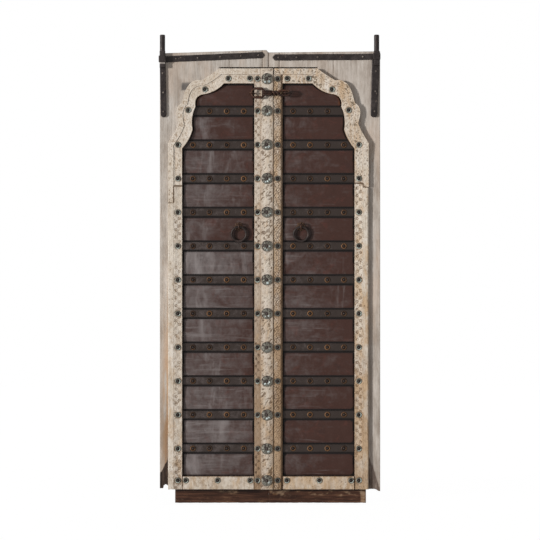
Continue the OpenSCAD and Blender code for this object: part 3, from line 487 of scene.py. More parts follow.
def brown_sheet(name):
    """Oxide-brown iron sheet, greyer in places and with a painted sheen towards the lamp's side, painted
    sheen in soft streaks too, rusty along its edges, and painted shade where hollow is set.
    """
    f = Finish(name, Specular_IOR_Level=0.2)
    # tint is each sheet's own greyness and a painted sheen from the lamp's side; it also raises the streak
    # and scuff coats below.
    grey_and_sheen = f.read("tint")
    broad = f.grain((10, 10, 14), 5, 0.62, 0.8)
    cloudy = f.grain((34, 34, 30, 4), 5, 0.65, 0.6)
    brushed = f.grain((10, 80, 100, 2), 5, 0.6)
    fine = f.grain((240, 240, 300), 3, 0.6)
    grey = f.step(grey_and_sheen + 1.1 * (broad - 0.5) + 0.7 * (cloudy - 0.5) + 0.3 * (brushed - 0.5), -0.02, 0.95)
    f.colour = f.blend(grey, srgb(59, 37, 31), srgb(106, 98, 97))
    red = f.step(f.grain((22, 22, 26, 13), 5, 0.65, 0.8), 0.52, 0.72)
    f.coat(red * 0.3, srgb(94, 54, 46))
    # Painted sheen: soft pale streaks that stand for the lamp's reflection.
    painted_sheen_streaks = f.step(f.grain((14, 14, 3, 8), 4, 0.6, 0.5) + 0.25 * grey_and_sheen, 0.64, 0.90)
    f.coat(painted_sheen_streaks * 0.70, srgb(142, 135, 134))
    # Pale level streaks, stronger where the painted sheen is.
    level = f.step(f.grain((5, 40, 70, 17), 4, 0.62, 0.4) + 0.22 * grey_and_sheen, 0.62, 0.86)
    f.coat(level * 0.42, srgb(140, 133, 132))
    dark = f.step(f.grain((15, 15, 20, 6), 5, 0.6), 0.56, 0.74)
    f.coat(dark * 0.45, srgb(42, 28, 26))
    scuff = f.step(f.grain((36, 36, 28, 11), 6, 0.7, 1.4) + 0.12 * grey_and_sheen, 0.70, 0.82)
    f.coat(scuff * 0.5, srgb(150, 143, 141))
    rust = f.step(f.read("edge") + 0.8 * (cloudy - 0.5) + 0.3 * (fine - 0.5), 0.40, 0.95)
    rust_tone = f.blend(f.step(broad, 0.40, 0.62), srgb(82, 44, 31), srgb(118, 68, 37))
    f.coat(rust * 0.65, rust_tone)
    # Painted shade along the straps and trims, and the ring's painted shadow, from hollow.
    f.coat(f.read("hollow"), srgb(11, 6, 6))
    return f.done(0.5 + 0.2 * broad + 0.12 * rust, 0.3 * brushed + 0.4 * fine + 0.8 * cloudy, 0.25, 0.001)


def old_iron(name, base, grey, rust_colour, rust_share, roughness, shift=0.0, pale=0.0, rim=0.45):
    """Forged iron: dark skin, greyed where dusted and on straps by a painted sheen, grey worn places with a
    painted highlight on washers, rust in the rest, painted shade on straps, and traces of limewash if pale.
    """
    f = Finish(name, Specular_IOR_Level=0.3)
    broad = f.grain((28, 28, 28, shift), 5, 0.6, 0.4)
    fine = f.grain((240, 240, 240, shift), 4, 0.62)
    # Greyer where tint is high: dusting, and on straps the sheets' painted sheen.
    dust_and_sheen = f.step(0.6 * broad + 0.4 * fine + 0.3 * (f.read("tint") - 0.5), 0.42, 0.70)
    f.colour = f.blend(dust_and_sheen, base, grey)
    rusty = f.step(f.grain((60, 60, 60, shift + 5), 5, 0.62), 0.62 - rust_share, 0.80 - rust_share)
    f.coat(rusty * 0.8, rust_colour)
    # edge is worn edges, and on washers a painted highlight to the lower right.
    rubbed_and_glint = f.step(f.read("edge") + 0.5 * (fine - 0.5), 0.2, 0.9)
    f.coat(rubbed_and_glint * rim, grey)
    # hollow darkens: dirt on washers, a dark chain tip, and on straps painted shade at the ends and edges.
    f.coat(f.read("hollow") * 0.85, srgb(20, 14, 12))
    if pale:
        trace = f.step(f.grain((80, 80, 50, shift + 9), 5, 0.65), 0.64, 0.72)
        f.coat(trace * pale, srgb(150, 136, 122))
        limed = f.step(f.read("tint") + 0.4 * (fine - 0.5), 0.7, 0.95)
        f.coat(limed * 0.85, srgb(186, 178, 170))
    return f.done(roughness + 0.25 * (fine - 0.5) + 0.2 * rusty, 0.6 * broad + 0.5 * fine, 0.45, 0.0012,
                  Metallic=0.35 - 0.3 * rusty)


def pressed_metal(name, base, bright, dark, shift):
    """Dull pressed metal: worn bright in places and painted highlights where edge is set, dirt in the hollows
    with painted shade on the rosettes, traces of paint.
    """
    f = Finish(name, Specular_IOR_Level=0.4)
    broad = f.grain((60, 60, 60, shift), 4, 0.6)
    fine = f.grain((300, 300, 300, shift), 3, 0.6)
    # edge brings painted highlights on washers and rosettes; the noise adds worn bright places.
    rubbed_and_glint = f.step(f.read("edge") + 0.6 * (broad - 0.5) + 0.3 * (fine - 0.5), 0.18, 0.85)
    f.colour = f.blend(rubbed_and_glint, base, bright)
    # hollow is dirt, and on the rosettes painted shade to the upper left.
    dirt = f.step(f.read("hollow") + 0.5 * (fine - 0.5), 0.25, 0.80)
    f.coat(dirt * 0.9, dark)
    paint = f.step(f.grain((120, 120, 120, shift + 3), 4, 0.6), 0.64, 0.72)
    f.coat(paint * 0.3, srgb(196, 180, 156))
    return f.done(0.42 + 0.3 * fine + 0.15 * dirt, fine, 0.3, 0.0008, Metallic=0.5 - 0.4 * dirt)


PLANK_FINISH = {"left": limed_wood("limed plank left", 0.0, 3),
                "right": limed_wood("limed plank right", 0.02, 1)}
TRIM_FINISH = {"left": carved_cream("cream trim left", -0.04, srgb(120, 96, 73), srgb(164, 144, 123), 1.0),
               "right": carved_cream("cream trim right", 0.11, srgb(108, 80, 54), srgb(96, 78, 58), 5.0)}
STILE_FINISH = {"left": carved_cream("cream inner trim left", 0.03,
                                     srgb(88, 68, 51), srgb(126, 105, 86), 13.0),
                "right": carved_cream("cream inner trim right", 0.17,
                                      srgb(70, 48, 30), srgb(80, 57, 36), 17.0)}
STRIP_FINISH = carved_cream("cream cover strip", 0.02, srgb(94, 73, 54), srgb(112, 91, 72), 9.0)
LEDGE_FINISH = bare_wood("brown ledge", srgb(70, 48, 36), srgb(104, 76, 57), srgb(140, 110, 86), 0.15)
RAIL_FINISH = bare_wood("dark rail", srgb(40, 25, 20), srgb(72, 47, 36), srgb(108, 75, 57), 0.75)
SHEET_FINISH = brown_sheet("brown iron sheet")
STRAP_FINISH = old_iron("dark strap iron", srgb(48, 39, 35), srgb(84, 75, 73), srgb(72, 46, 34), -0.02, 0.55)
RUST_FINISH = old_iron("rusty washer iron", srgb(58, 41, 30), srgb(114, 82, 54), srgb(78, 50, 31),
                       0.06, 0.6, 3.0, rim=0.5)
NAIL_FINISH = old_iron("dark nail iron", srgb(30, 22, 20), srgb(56, 45, 41), srgb(52, 31, 21), 0.05, 0.5, 6.0)
PIVOT_FINISH = old_iron("black pivot iron", srgb(33, 27, 26), srgb(65, 58, 56), srgb(70, 46, 36),
                        0.0, 0.55, 8.0, pale=0.45)
SMALL_NAIL_FINISH = old_iron("worn nail iron", srgb(70, 61, 56), srgb(150, 140, 131), srgb(86, 70, 60),
                             0.02, 0.5, 21.0)
RING_FINISH = old_iron("ring iron", srgb(34, 26, 24), srgb(72, 60, 56), srgb(70, 46, 34), 0.04, 0.5, 11.0)
CHAIN_FINISH = old_iron("rusty chain iron", srgb(40, 25, 20), srgb(86, 58, 42), srgb(80, 43, 25),
                        0.08, 0.6, 14.0)
ROSE_FINISH = old_iron("rusty rose iron", srgb(62, 43, 32), srgb(98, 72, 49), srgb(92, 58, 34),
                       0.06, 0.6, 17.0)
WASHER_FINISH = pressed_metal("grey washer metal", srgb(98, 96, 87), srgb(172, 180, 172),
                              srgb(34, 26, 23), 2.0)
ROSETTE_FINISH = pressed_metal("grey rosette metal", srgb(108, 105, 96), srgb(196, 208, 207),
                               srgb(52, 40, 37), 7.0)


# Planks, ledges and rails

def left_foot(u):
    """The left planks' lower ends, with a rotted notch near the outer edge."""
    bite = smooth(NOTCH_U0, NOTCH_U0 + 4, u) * smooth(NOTCH_U1, NOTCH_U1 - 4, u)
    return LEFT_FOOT_Z + bite * (13 + 5 * noise(u / 4, 0, 0, 5))


def right_foot(u):
    """The right planks' lower ends, drawn out to a tip at the outer edge."""
    return RIGHT_FOOT_Z - 10 * smooth(RIGHT_W - TIP_W, RIGHT_W, u) + 2 * noise(u / 6, 0, 0, 6)


def left_top(u):
    """The left leaf's top edge: it slopes outwards and is knocked off at the meeting line."""
    return LEFT_TOP_Z - 15 * u / LEFT_W - 9 * smooth(7, 1, u)


def right_top(u):
    """The right leaf's top edge: it climbs outwards a little."""
    return RIGHT_TOP_Z + 5 * u / RIGHT_W


PLANK_ENDS = {"left": (left_foot, left_top), "right": (right_foot, right_top)}


def left_rot(U, Z):
    """Rot above the left notch and damp round it."""
    line = ROT_Z - 1.9 * (U - ROT_U) + 9 * (noise(U / 5, 0, Z / 14, 31) - 0.5)
    rot = (0.89 + 0.08 * cloud(U / 5, 0, Z / 24, 32)) * smooth(4, -5, Z - line) * smooth(ROT_U - 4, ROT_U, U)
    damp = 0.5 * smooth(560, 260, Z) * bell(U - 450, 24)
    return np.maximum(rot, damp)


def right_crack(U, Z):
    """A slit across the foot of the right leaf's outer edge, rot under it, and a faint darker line beside the
    trim.
    """
    line = CRACK_Z - 3.4 * (U - CRACK_U) + 6 * (noise(U / 5, 0, Z / 8, 33) - 0.5)
    slit = 0.9 * bell(Z - line, 12.0) * smooth(CRACK_U - 5, CRACK_U, U)
    under = 0.5 + 0.5 * cloud(U / 5, 0, Z / 20, 35)
    under = under * smooth(2, -10, Z - line) * smooth(TRIM_END - 14, TRIM_END - 6, U)
    # A faint darker line just outside the trim, fading out between 1.1 and 1.7 m up.
    beside = 0.2 * bell(U - (CRACK_U - 9), 4.0) * smooth(1700, 1100, Z)
    return most(slit, under, beside)


def tenon_end(U, Z):
    """A sunk patch in the left wide plank, where a tenon comes through."""
    across = smooth(TENON_U0, TENON_U0 + 2, U) * smooth(TENON_U1, TENON_U1 - 2, U)
    return across * smooth(TENON_Z0, TENON_Z0 + 2, Z) * smooth(TENON_Z1, TENON_Z1 - 2, Z)


def plank(side, u0, u1, seed, stain=None, recess=None, tan=False, cup=0.0):
    """A plank with a kerf above the trim. Stain darkens it, recess sinks a patch, tan warms
    the wood near the outer edge and cup bends that edge forwards."""
    foot, top = PLANK_ENDS[side]
    cols = spread(u0, u1, 9)
    if u1 > TRIM_END:
        cols = np.union1d(cols, np.arange(u1 - 48, u1 - 3, 2.4))
    # Rows are level between low and high, and follow the worn ends outside them.
    low, high = 190.0, 1985.0
    kerf_low, kerf_high = TRIM_TOP, TRIM_TOP + KERF_H
    kerf_rows = [kerf_low - 0.2, kerf_low + 0.1, kerf_high - 0.1, kerf_high + 0.2]
    middle = np.union1d(np.linspace(low, high, 150), kerf_rows)
    low_share = np.concatenate([[0, 0.012], np.linspace(0.03, 1, 34, endpoint=False)])
    high_share = np.array([0.2, 0.4, 0.6, 0.78, 0.9, 0.97, 1.0])
    foot_z, top_z = foot(cols), top(cols)
    Z = np.concatenate([foot_z + low_share[:, None] * (low - foot_z),
                        np.repeat(middle[:, None], len(cols), 1),
                        high + high_share[:, None] * (top_z - high)])
    U = np.repeat(cols[None], len(Z), 0)
    gap = least(U - u0, u1 - U, Z - foot_z, top_z - Z)
    wear = 1.2 + 1.6 * noise(U / 30, 0, Z / 45, seed)
    relief = 0.7 * cloud(U / 6, 0, Z / 140, seed + 1) ** 2 + 0.5 * cloud(U / 40, 0, Z / 200, seed + 2)
    front = arris(gap, wear) + relief - cup * smooth(TRIM_END - 14, TRIM_END - 2, U) * smooth(1640, 1500, Z)
    back = PLANK_T - arris(gap, wear) - 0.8 * cloud(U / 7, 3, Z / 160, seed + 3) ** 2
    kerf = (Z > kerf_low) & (Z < kerf_high) & (U < KERF_END[side])
    front = np.where(kerf, KERF_DEPTH, front)
    # Painted shade: near black in the kerf above the trim, and dark at the meeting edge where the gap between
    # the leaves is.
    hollow = np.maximum(np.where(kerf, 1.0, 0.0), 0.9 * smooth(3.0, 0.5, U))
    if stain:
        hollow = np.maximum(hollow, stain(U, Z))
    tint = np.zeros_like(U)
    if tan:
        streaks = smooth(0.15, 0.50, cloud(U / 14, 9, Z / 140, seed + 5))
        tint = streaks * smooth(1300, 300, Z) * bell(U - 454, 24)
    if recess:
        front = front + 1.5 * recess(U, Z)
        tint = tint - recess(U, Z)
    return board(U, Z, front, back, hollow, near(gap, 1.6), tint)


for name, u0, u1, seed, marks in (
        ("left_wide_plank", LEFT_SEAMS[1] + HAIRLINE, LEFT_W, 101,
         {"stain": left_rot, "recess": tenon_end, "tan": True}),
        ("left_inner_plank", LEFT_SEAMS[0] + HAIRLINE, LEFT_SEAMS[1] - HAIRLINE, 111, {}),
        ("left_edge_plank", MEET_GAP, LEFT_SEAMS[0] - HAIRLINE, 121, {}),
        ("right_edge_plank", MEET_GAP, RIGHT_SEAMS[0] - HAIRLINE, 131, {}),
        ("right_middle_plank", RIGHT_SEAMS[0] + HAIRLINE, RIGHT_SEAMS[1] - HAIRLINE, 141, {}),
        ("right_outer_plank", RIGHT_SEAMS[1] + HAIRLINE, RIGHT_W, 151, {"stain": right_crack, "cup": CUP})):
    side = name.split("_")[0]
    add_piece(name + "_limed", side, [plank(side, u0, u1, seed, **marks)], PLANK_FINISH[side],
              side + "_leaf", [name])


def beam(u0, u1, z0, z1, y0, y1, seed, ragged=1.0, wash=None):
    """A ledge or rail: level grain, worn arrises, a ragged lower edge. With wash it is a rail,
    limed in places and dark where the planks' feet shade it."""
    U, Z = np.meshgrid(spread(u0, u1, 9), spread(z0, z1, 6))
    gap = least(U - u0, u1 - U, Z - z0, z1 - Z)
    wear = 1.2 + 2.4 * noise(U / 40, 1, Z / 25, seed)
    front = y0 + arris(gap, wear) + 0.9 * cloud(U / 120, 2, Z / 6, seed + 1) ** 2
    back = y1 - arris(gap, wear) - 0.9 * cloud(U / 120, 5, Z / 6, seed + 2) ** 2
    lift = ragged * 2.5 * cloud(U / 14, 0, 0, seed + 3) * smooth(z0 + 9, z0, Z)
    tint = wash(U, Z) if wash else 0.0
    # Painted shade on the rails where the planks' feet shade them.
    hollow = smooth(48, 59, Z) * smooth(140, 130, Z) if wash else 0.0
    return board(U, Z + lift, front, back, hollow, near(gap, 2.0), tint)


for side, width, first_seed in (("left", LEFT_W, 201), ("right", RIGHT_W, 206)):
    for k, row in enumerate(LEDGE_ROWS):
        name = "%s_ledge_%d" % (side, k + 1)
        ledge = beam(LEDGE_INSET, width - LEDGE_INSET, row_z(row) - LEDGE_H / 2, row_z(row) + LEDGE_H / 2,
                     PLANK_T, PLANK_T + LEDGE_T, first_seed + 10 * k)
        add_piece(name + "_brown", side, [ledge], LEDGE_FINISH, side + "_leaf", [name])


def left_rail_wash(U, Z):
    """A thin wash all along the left rail."""
    return 0.05 + 0.55 * cloud(U / 50, 0, Z / 14, 75) * smooth(20, 50, Z)


def right_rail_wash(U, Z):
    """Patches of wash on the right rail's upper half, and its pale outer end."""
    upper = smooth(24, 40, Z + 22 * (cloud(U / 16, 0, Z / 12, 71) - 0.5))
    patchy = 1.5 * cloud(U / 11, 1, Z / 8, 73) - 0.42 + 0.2 * smooth(120, 60, U)
    return np.maximum(patchy * upper, 0.95 * smooth(411, 417, U))


for side, wash in (("left", left_rail_wash), ("right", right_rail_wash)):
    name = side + "_bottom_rail"
    rail = beam(MEET_GAP, RAIL_END[side], 0, RAIL_H, PLANK_T, PLANK_T + RAIL_T, 261, 0.6, wash)
    add_piece(name + "_dark", side, [rail], RAIL_FINISH, side + "_leaf", [name])


# Carved trim: corners of the arch as shares of its width and height, with the bow between them

INNER_KEYS = [(0.42, 0), (0.679, 0.164), (0.815, 0.356), (0.855, 0.705), (1, 1)]
INNER_BULGE = [0.08, -0.27, -0.08, 0.06]
OUTER_KEYS = [(0.408, 0), (0.612, 0.16), (0.842, 0.466), (0.879, 0.734), (1, 1)]
OUTER_BULGE = [0.02, -0.22, -0.19, 0.03]


def bowed_line(keys, bulges, steps, early=0.5):
    """A line of bows: each swells most at a share of its length."""
    rise, fall = 2 * early, 2 * (1 - early)
    fullest = early ** rise * (1 - early) ** fall
    points = []
    for a, b, bulge in zip(keys[:-1], keys[1:], bulges):
        a, b = np.array(a), np.array(b)
        for s in range(steps):
            t = s / steps
            bow = bulge * t ** rise * (1 - t) ** fall / fullest
            points.append(a + t * (b - a) - bow * np.array([-(b - a)[1], (b - a)[0]]))
    points.append(np.array(keys[-1]))
    return np.array(points)


ARCH_STEPS = 44
INNER_ARCH = bowed_line([(STILE_W + x * PANEL_W, PANEL_TOP - y * ARCH_H) for x, y in INNER_KEYS],
                        INNER_BULGE, ARCH_STEPS)
OUTER_ARCH = bowed_line([(STILE_W + x * (PANEL_W + OUTER_TRIM_W), TRIM_TOP - y * OUTER_ARCH_H)
                         for x, y in OUTER_KEYS], OUTER_BULGE, ARCH_STEPS, 0.38)


def arch_u(z):
    """Where the panels end at a height: the trim's inner outline."""
    order = np.argsort(INNER_ARCH[:, 1])
    return np.interp(z, INNER_ARCH[order, 1], INNER_ARCH[order, 0], left=PANEL_END, right=INNER_ARCH[0, 0])


def stroke(distance, width):
    """A rounded groove of a given width at a distance from its middle."""
    return bell(2 * distance, width)


def curls(across, length, pitch, swing, radius, width):
    """Grooves of curls set left and right of the middle, each with an eye."""
    k = np.round(length / pitch)
    centre = np.where(np.mod(k, 2) == 0, swing, -swing)
    away = np.hypot(across - centre, length - k * pitch)
    return np.maximum(stroke(away - radius, width), stroke(away, width * 1.6))


def wear_off(across, length, low, seed):
    """How much of the carving is left: it comes and goes along the board."""
    return low + (1 - low) * smooth(0.30, 0.60, cloud(across / 40, 0, length / 70, seed))


def vine_carving(across, length, half, seed):
    """A running vine: a wandering stem, a curl in each bend and slanting leaves along the margins."""
    stem = stroke(across - 0.5 * half * np.sin(math.pi * length / 17.0), 3.0)
    curl = curls(across, length + 8.5, 17.0, -0.42 * half, 0.30 * half, 2.8)
    leaf = stroke(np.mod(length + 1.1 * np.abs(across), 8.5) - 4.25, 2.6)
    leaf = leaf * smooth(0.62 * half, 0.78 * half, np.abs(across))
    pits = smooth(0.62, 0.76, noise(across / 3.6, 0, length / 4.6, seed))
    return most(0.9 * stem, curl, 0.7 * leaf, 0.6 * pits) * wear_off(across, length, 0.5, seed + 1)


def pricked_carving(across, length, half, seed):
    """Strips of the arch: pricked all along, plain at both margins, with faint curls."""
    inside = smooth(0.95 * half, 0.7 * half, np.abs(across))
    curl = curls(np.abs(across) - 0.5 * half, length, 13.0, 1.6, 3.6, 2.2)
    pricks = 0.14 + 0.62 * smooth(0.48, 0.70, noise(across / 4.4, 0, length / 5.4, seed))
    return np.maximum(0.7 * curl, pricks) * inside * wear_off(across, length, 0.75, seed + 1)


def plain_carving(across, length, half, seed):
    """A plain board: a bead line near its outer edge, pricks and a few tool marks."""
    bead = 0.5 * stroke(across - 0.62 * half, 2.4) * smooth(0.40, 0.62, cloud(0, 0, length / 60, seed))
    pits = smooth(0.66, 0.80, noise(across / 4.2, 0, length / 6.0, seed + 2))
    marks = 0.6 * smooth(0.66, 0.78, noise(across / 10, 0, length / 4.5, seed + 3))
    return most(bead, 0.6 * pits, 0.8 * marks) * wear_off(across, length, 0.45, seed + 4)


def leaf_carving(across, length, half, seed):
    """A run of slanting leaves that meet at a stem, curls between them."""
    turned = np.where(np.mod(np.floor(length / 75.7), 2) == 0, 1, -1)
    leaf = stroke(np.mod(length + 1.2 * across * turned, 14.0) - 7.0, 4.2)
    stem = 0.8 * stroke(across - 0.3 * half * np.sin(length / 9.0), 3.4)
    curl = curls(across, length + 9, 25.0, 0.2 * half, 0.5 * half, 3.4)
    pits = smooth(0.60, 0.74, noise(across / 4, 0, length / 5, seed))
    return most(0.8 * leaf, stem, 0.9 * curl, 0.5 * pits) * wear_off(across, length, 0.75, seed + 1)


def strip_carving(across, length, half, seed):
    """The cover strip: pricked and curled all over, smoother down the middle, a groove at each edge."""
    margin = 0.85 + 0.15 * smooth(0.25 * half, 0.55 * half, np.abs(across))
    pricks = 0.95 * smooth(0.50, 0.74, noise(across / 6.0 + 0.10 * length, 0, length / 8.5, seed))
    curl = curls(np.abs(across) - 0.55 * half, length, 15.0, 2.4, 4.4, 2.8)
    flute = stroke(np.abs(across) - (half - 6), 2.2)
    worked = np.maximum(0.8 * pricks, 0.7 * curl) * wear_off(across, length, 0.75, seed + 1) * margin
    return np.maximum(worked, 0.35 * flute)


# Strips of a trim board: from which to which share of its width, and how far forward
BAND, RIM = (0.0, BAND_SHARE, BAND_FRONT), (BAND_SHARE, 1.0, -TRIM_T)
WHOLE, COVER = (0.0, 1.0, -TRIM_T), (0.0, 1.0, -COVER_T)


def carved_run(lines, strip, carving, depth, seed, soil, step=1.9, studs=(), back=0.0, crown=0.0,
               rim=1.0, split=None, fall=0.0, fall_from=0.3, side_dirt_and_shade=0.0):
    """A carved strip of the board between two matched lines.

    Soil is its dirt at the top and at the floor, studs are kept clear of carving, crown rounds it across,
    rim wears its edges, split darkens joints, fall slopes its outer side back, side_dirt_and_shade darkens
    that side with dirt and painted shade."""
    inner, outer = lines
    share0, share1, front = strip
    a, b = inner + share0 * (outer - inner), inner + share1 * (outer - inner)
    width = float(np.median(np.linalg.norm(b - a, axis=1)))
    s = (spread(0, width, step) / width)[None, :, None]
    grid = a[:, None] + s * (b - a)[:, None]
    U, Z = grid[..., 0], grid[..., 1]
    middle = (a + b) / 2
    length = np.concatenate([[0], np.cumsum(np.linalg.norm(np.diff(middle, axis=0), axis=1))])
    L = np.repeat(length[:, None], U.shape[1], 1)
    across = np.broadcast_to((s[..., 0] - 0.5) * width, U.shape)
    gap = least(width / 2 - np.abs(across), L, length[-1] - L)
    cut = carving(across, L, width / 2, seed) * smooth(0.5, 3.0, gap)
    stain, clear = 0.0, 1.0
    stud_dirt = 0.6 * smooth(0.3, 0.6, noise(U / 9, 7, Z / 9, seed + 5))
    for u, z in studs:
        away = np.hypot(U - u, Z - z)
        cut = cut * smooth(WASHER_R - 1, WASHER_R + 3, away)
        clear = clear * smooth(WASHER_R - 1, WASHER_R + 6, away)
        stain = stain + stud_dirt * bell(away - WASHER_R, 4.5)
    wear = 0.9 + 1.6 * noise(U / 14, 0, Z / 18, seed + 9)
    chip = 1.2 * smooth(0.62, 0.8, noise(U / 7, 2, Z / 9, seed + 6)) * near(gap, 1.2)
    rounded = crown * (2 * across / width) ** 2
    sloped = fall * clear * smooth(fall_from, 0.5, across / width)
    front_y = (front + arris(gap, wear) + depth * cut + 0.35 * cloud(U / 16, 4, Z / 30, seed + 4)
               + rounded + sloped + chip)
    top_soil, foot_soil = soil
    # Dirt, and with side_dirt_and_shade painted shade on the side that turns from the lamp.
    soil_and_shade = (top_soil + (foot_soil - top_soil) * smooth(1500, 200, Z) + stain + 0.1 * rounded
               + side_dirt_and_shade * smooth(-0.1, 0.5, across / width)
               + 0.5 * rim * near(gap, 6.0) * smooth(0.35, 0.65, noise(U / 9, 6, Z / 30, seed + 8)))
    if split:
        cut = cut + split(U, Z)
    return board(U, Z, front_y, back, cut, rim * near(gap, 2.0), soil_and_shade)


def straight(u0, u1, z0, z1, step):
    """The two edges of an upright board."""
    n = max(2, int(round((z1 - z0) / step)) + 1)
    z = spread(z0, z1, (z1 - z0) / n)
    return np.stack([np.full_like(z, u0), z], -1), np.stack([np.full_like(z, u1), z], -1)


SIDE_STUD_U = PANEL_END + 0.3 * OUTER_TRIM_W
FOOT_STUD_Z = TRIM_Z0 + 0.7 * BOTTOM_TRIM_H
BAND_STUDS = ([(SIDE_STUD_U, row_z(i)) for i in range(ROWS - 1)] + [(SIDE_STUD_U, FOOT_STUD_Z)]
              + [(STILE_W + x * PANEL_W, PANEL_TOP - y * ARCH_H)
                 for x, y in ((0.065, -0.075), (0.36, -0.075), (0.685, 0.092), (0.917, 0.411))])
FOOT_STUDS = [(STILE_W + s * PANEL_W, FOOT_STUD_Z) for s in (0.06, 0.51, 0.95)]


def upright_studs(u):
    """Studs up an upright board: one at each strap, one above them and one below."""
    return [(u, row_z(i)) for i in range(ROWS)] + [(u, PANEL_TOP + 0.3 * TOP_TRIM_H), (u, FOOT_STUD_Z)]


INNER_STUDS = {"left": upright_studs(COVER_LEFT + 0.5 * (STILE_W - COVER_LEFT)),
               "right": upright_studs(RIGHT_TRIM_U + 0.42 * (STILE_W - RIGHT_TRIM_U))}
STRAP_STUDS = [(STILE_W + s * PANEL_W, row_z(i), i) for i in range(ROWS)
               for k, s in enumerate((0.148, 0.383, 0.623, 0.852)) if i < ROWS - 1 or k < 3]


def arch_lines(start_u, end_z, across, down):
    """The inner and the outer line of an arch board, from the meeting line over the arch and down."""
    lines = []
    for arch, top_z, end_u in ((INNER_ARCH, PANEL_TOP, PANEL_END), (OUTER_ARCH, TRIM_TOP, TRIM_END)):
        level_u = np.linspace(start_u, arch[0, 0], across, endpoint=False)
        upright_z = np.linspace(arch[-1, 1], end_z, down + 1)[1:]
        lines.append(np.concatenate([np.stack([level_u, np.full(across, top_z)], -1), arch,
                                     np.stack([np.full(down, end_u), upright_z], -1)]))
    return lines


def open_joint(joint, drop, gape):
    """The open joint between arch trim and outer trim: level across each strip, upright between them."""
    def split(U, Z):
        band = bell(Z - joint, 2.6) * smooth(BAND_U + 1, BAND_U - 1, U)
        rim = bell(Z - joint + drop, 2.2) * smooth(BAND_U - 1, BAND_U + 1, U)
        between = smooth(joint - drop - 4, joint - drop + 4, Z) * smooth(joint + 4, joint - 4, Z)
        return gape * most(band, 0.6 * rim, bell(U - BAND_U, 2.6) * between)
    return split


def dark_ends(U, Z):
    """Dirt in the joints at the ends of the bottom trim."""
    from_end = np.minimum(U - STILE_W, PANEL_END - U) + 1.2 * noise(U / 4, 0, Z / 6, 41)
    return 1.6 * smooth(4.6, 2.2, from_end)


TRIM_SOIL = {"left": (0.04, 0.28), "right": (0.08, 0.46)}
STILE_SOIL = {"left": (0.42, 0.84), "right": (0.36, 0.56)}
STRIP_SOIL = (0.30, 0.42)
RIM_SOIL = {"left": (-0.10, 0.10), "right": (0.02, 0.44)}
FOOT_SOIL = {"left": (0.0, 0.10), "right": (0.0, 0.24)}
RIM_FALL = {"left": 0.0, "right": 6.0}
STILE_START = {"left": COVER_LEFT + 0.3, "right": RIGHT_TRIM_U - 3.0}
STILE_CARVING = {"left": vine_carving, "right": leaf_carving}
# The right inner trim is darker towards its outer side, with dirt and painted shade.
STILE_WEAR = {"left": {"rim": 0.35}, "right": {"rim": 0.8, "fall": 8.0, "side_dirt_and_shade": 0.4}}
for side, rim_u, gape, seed in (("left", COVER_LEFT, 2.0, 301), ("right", RIGHT_TRIM_U, 1.5, 331)):
    finish, body = TRIM_FINISH[side], side + "_leaf"
    joint, drop = TRIM_JOINT_Z[side], TRIM_JOINT_DROP[side]
    split = open_joint(joint, drop, gape)
    arch_band = arch_lines(STILE_W + 0.4, joint + 0.4, 60, 70)
    arch_rim = arch_lines(rim_u + 0.3, joint - drop + 0.4, 70, 90)
    add_piece(side + "_arch_trim_carved", side,
              [carved_run(arch_band, BAND, pricked_carving, 1.6, seed, TRIM_SOIL[side],
                          studs=BAND_STUDS, split=split),
               carved_run(arch_rim, RIM, pricked_carving, 1.3, seed + 3, RIM_SOIL[side],
                          rim=0.6, split=split)],
              finish, body, [side + "_arch_trim"])
    lower_band = straight(PANEL_END + 0.2, TRIM_END, TRIM_Z0, joint - 0.4, 1.9)
    lower_rim = straight(PANEL_END + 0.2, TRIM_END, TRIM_Z0, joint - drop - 0.4, 2.6)
    add_piece(side + "_outer_trim_carved", side,
              [carved_run(lower_band, BAND, vine_carving, 2.0, seed + 5, TRIM_SOIL[side],
                          studs=BAND_STUDS, rim=0.5, split=split, fall=-BAND_STEP, fall_from=-0.2),
               carved_run(lower_rim, RIM, plain_carving, 1.0, seed + 7, RIM_SOIL[side],
                          rim=0.25, split=split, fall=RIM_FALL[side])],
              finish, body, [side + "_outer_trim"])
    stile = straight(STILE_START[side], STILE_W - 0.2, TRIM_Z0, LAP_Z - 0.3, 1.9)
    add_piece(side + "_inner_trim_carved", side,
              [carved_run(stile, WHOLE, STILE_CARVING[side], 2.0, seed + 11, STILE_SOIL[side],
                          studs=INNER_STUDS[side], **STILE_WEAR[side])],
              STILE_FINISH[side], body, [side + "_inner_trim"])
    u = spread(STILE_W + PANEL_GAP, PANEL_END - PANEL_GAP, 2.6)
    foot = [np.stack([u, np.full_like(u, z)], -1) for z in (TRIM_Z0, PANEL_Z0)]
    add_piece(side + "_bottom_trim_carved", side,
              [carved_run(foot, WHOLE, plain_carving, 1.4, seed + 13, FOOT_SOIL[side], 2.2,
                          FOOT_STUDS, split=dark_ends)],
              finish, body, [side + "_bottom_trim"])

cover = straight(-COVER_LAP, COVER_LEFT, TRIM_Z0, TRIM_TOP, 2.0)
strip = carved_run(cover, COVER, strip_carving, 1.5, 371, STRIP_SOIL, 1.8, back=-1.0, crown=2.4, rim=0.3)
add_piece("cover_strip_carved", "left", [strip], STRIP_FINISH, "left_leaf", ["cover_strip"])


# Iron sheets and straps

# One sheet on each leaf is crumpled; the greyness and painted sheen of each sheet is counted from the floor
# up.
CRUMPLED = {"left": 6, "right": 10}
SHEET_GREY_AND_SHEEN = {"left": (0.44, 0.48, 0.38, 0.32, 0.36, 0.42, 0.54, 0.22, 0.36, 0.28, 0.16, 0.08),
               "right": (0.05, 0.02, 0.08, 0.12, 0.18, 0.18, 0.16, 0.06, 0.06, 0.06, 0.00, 0.00)}


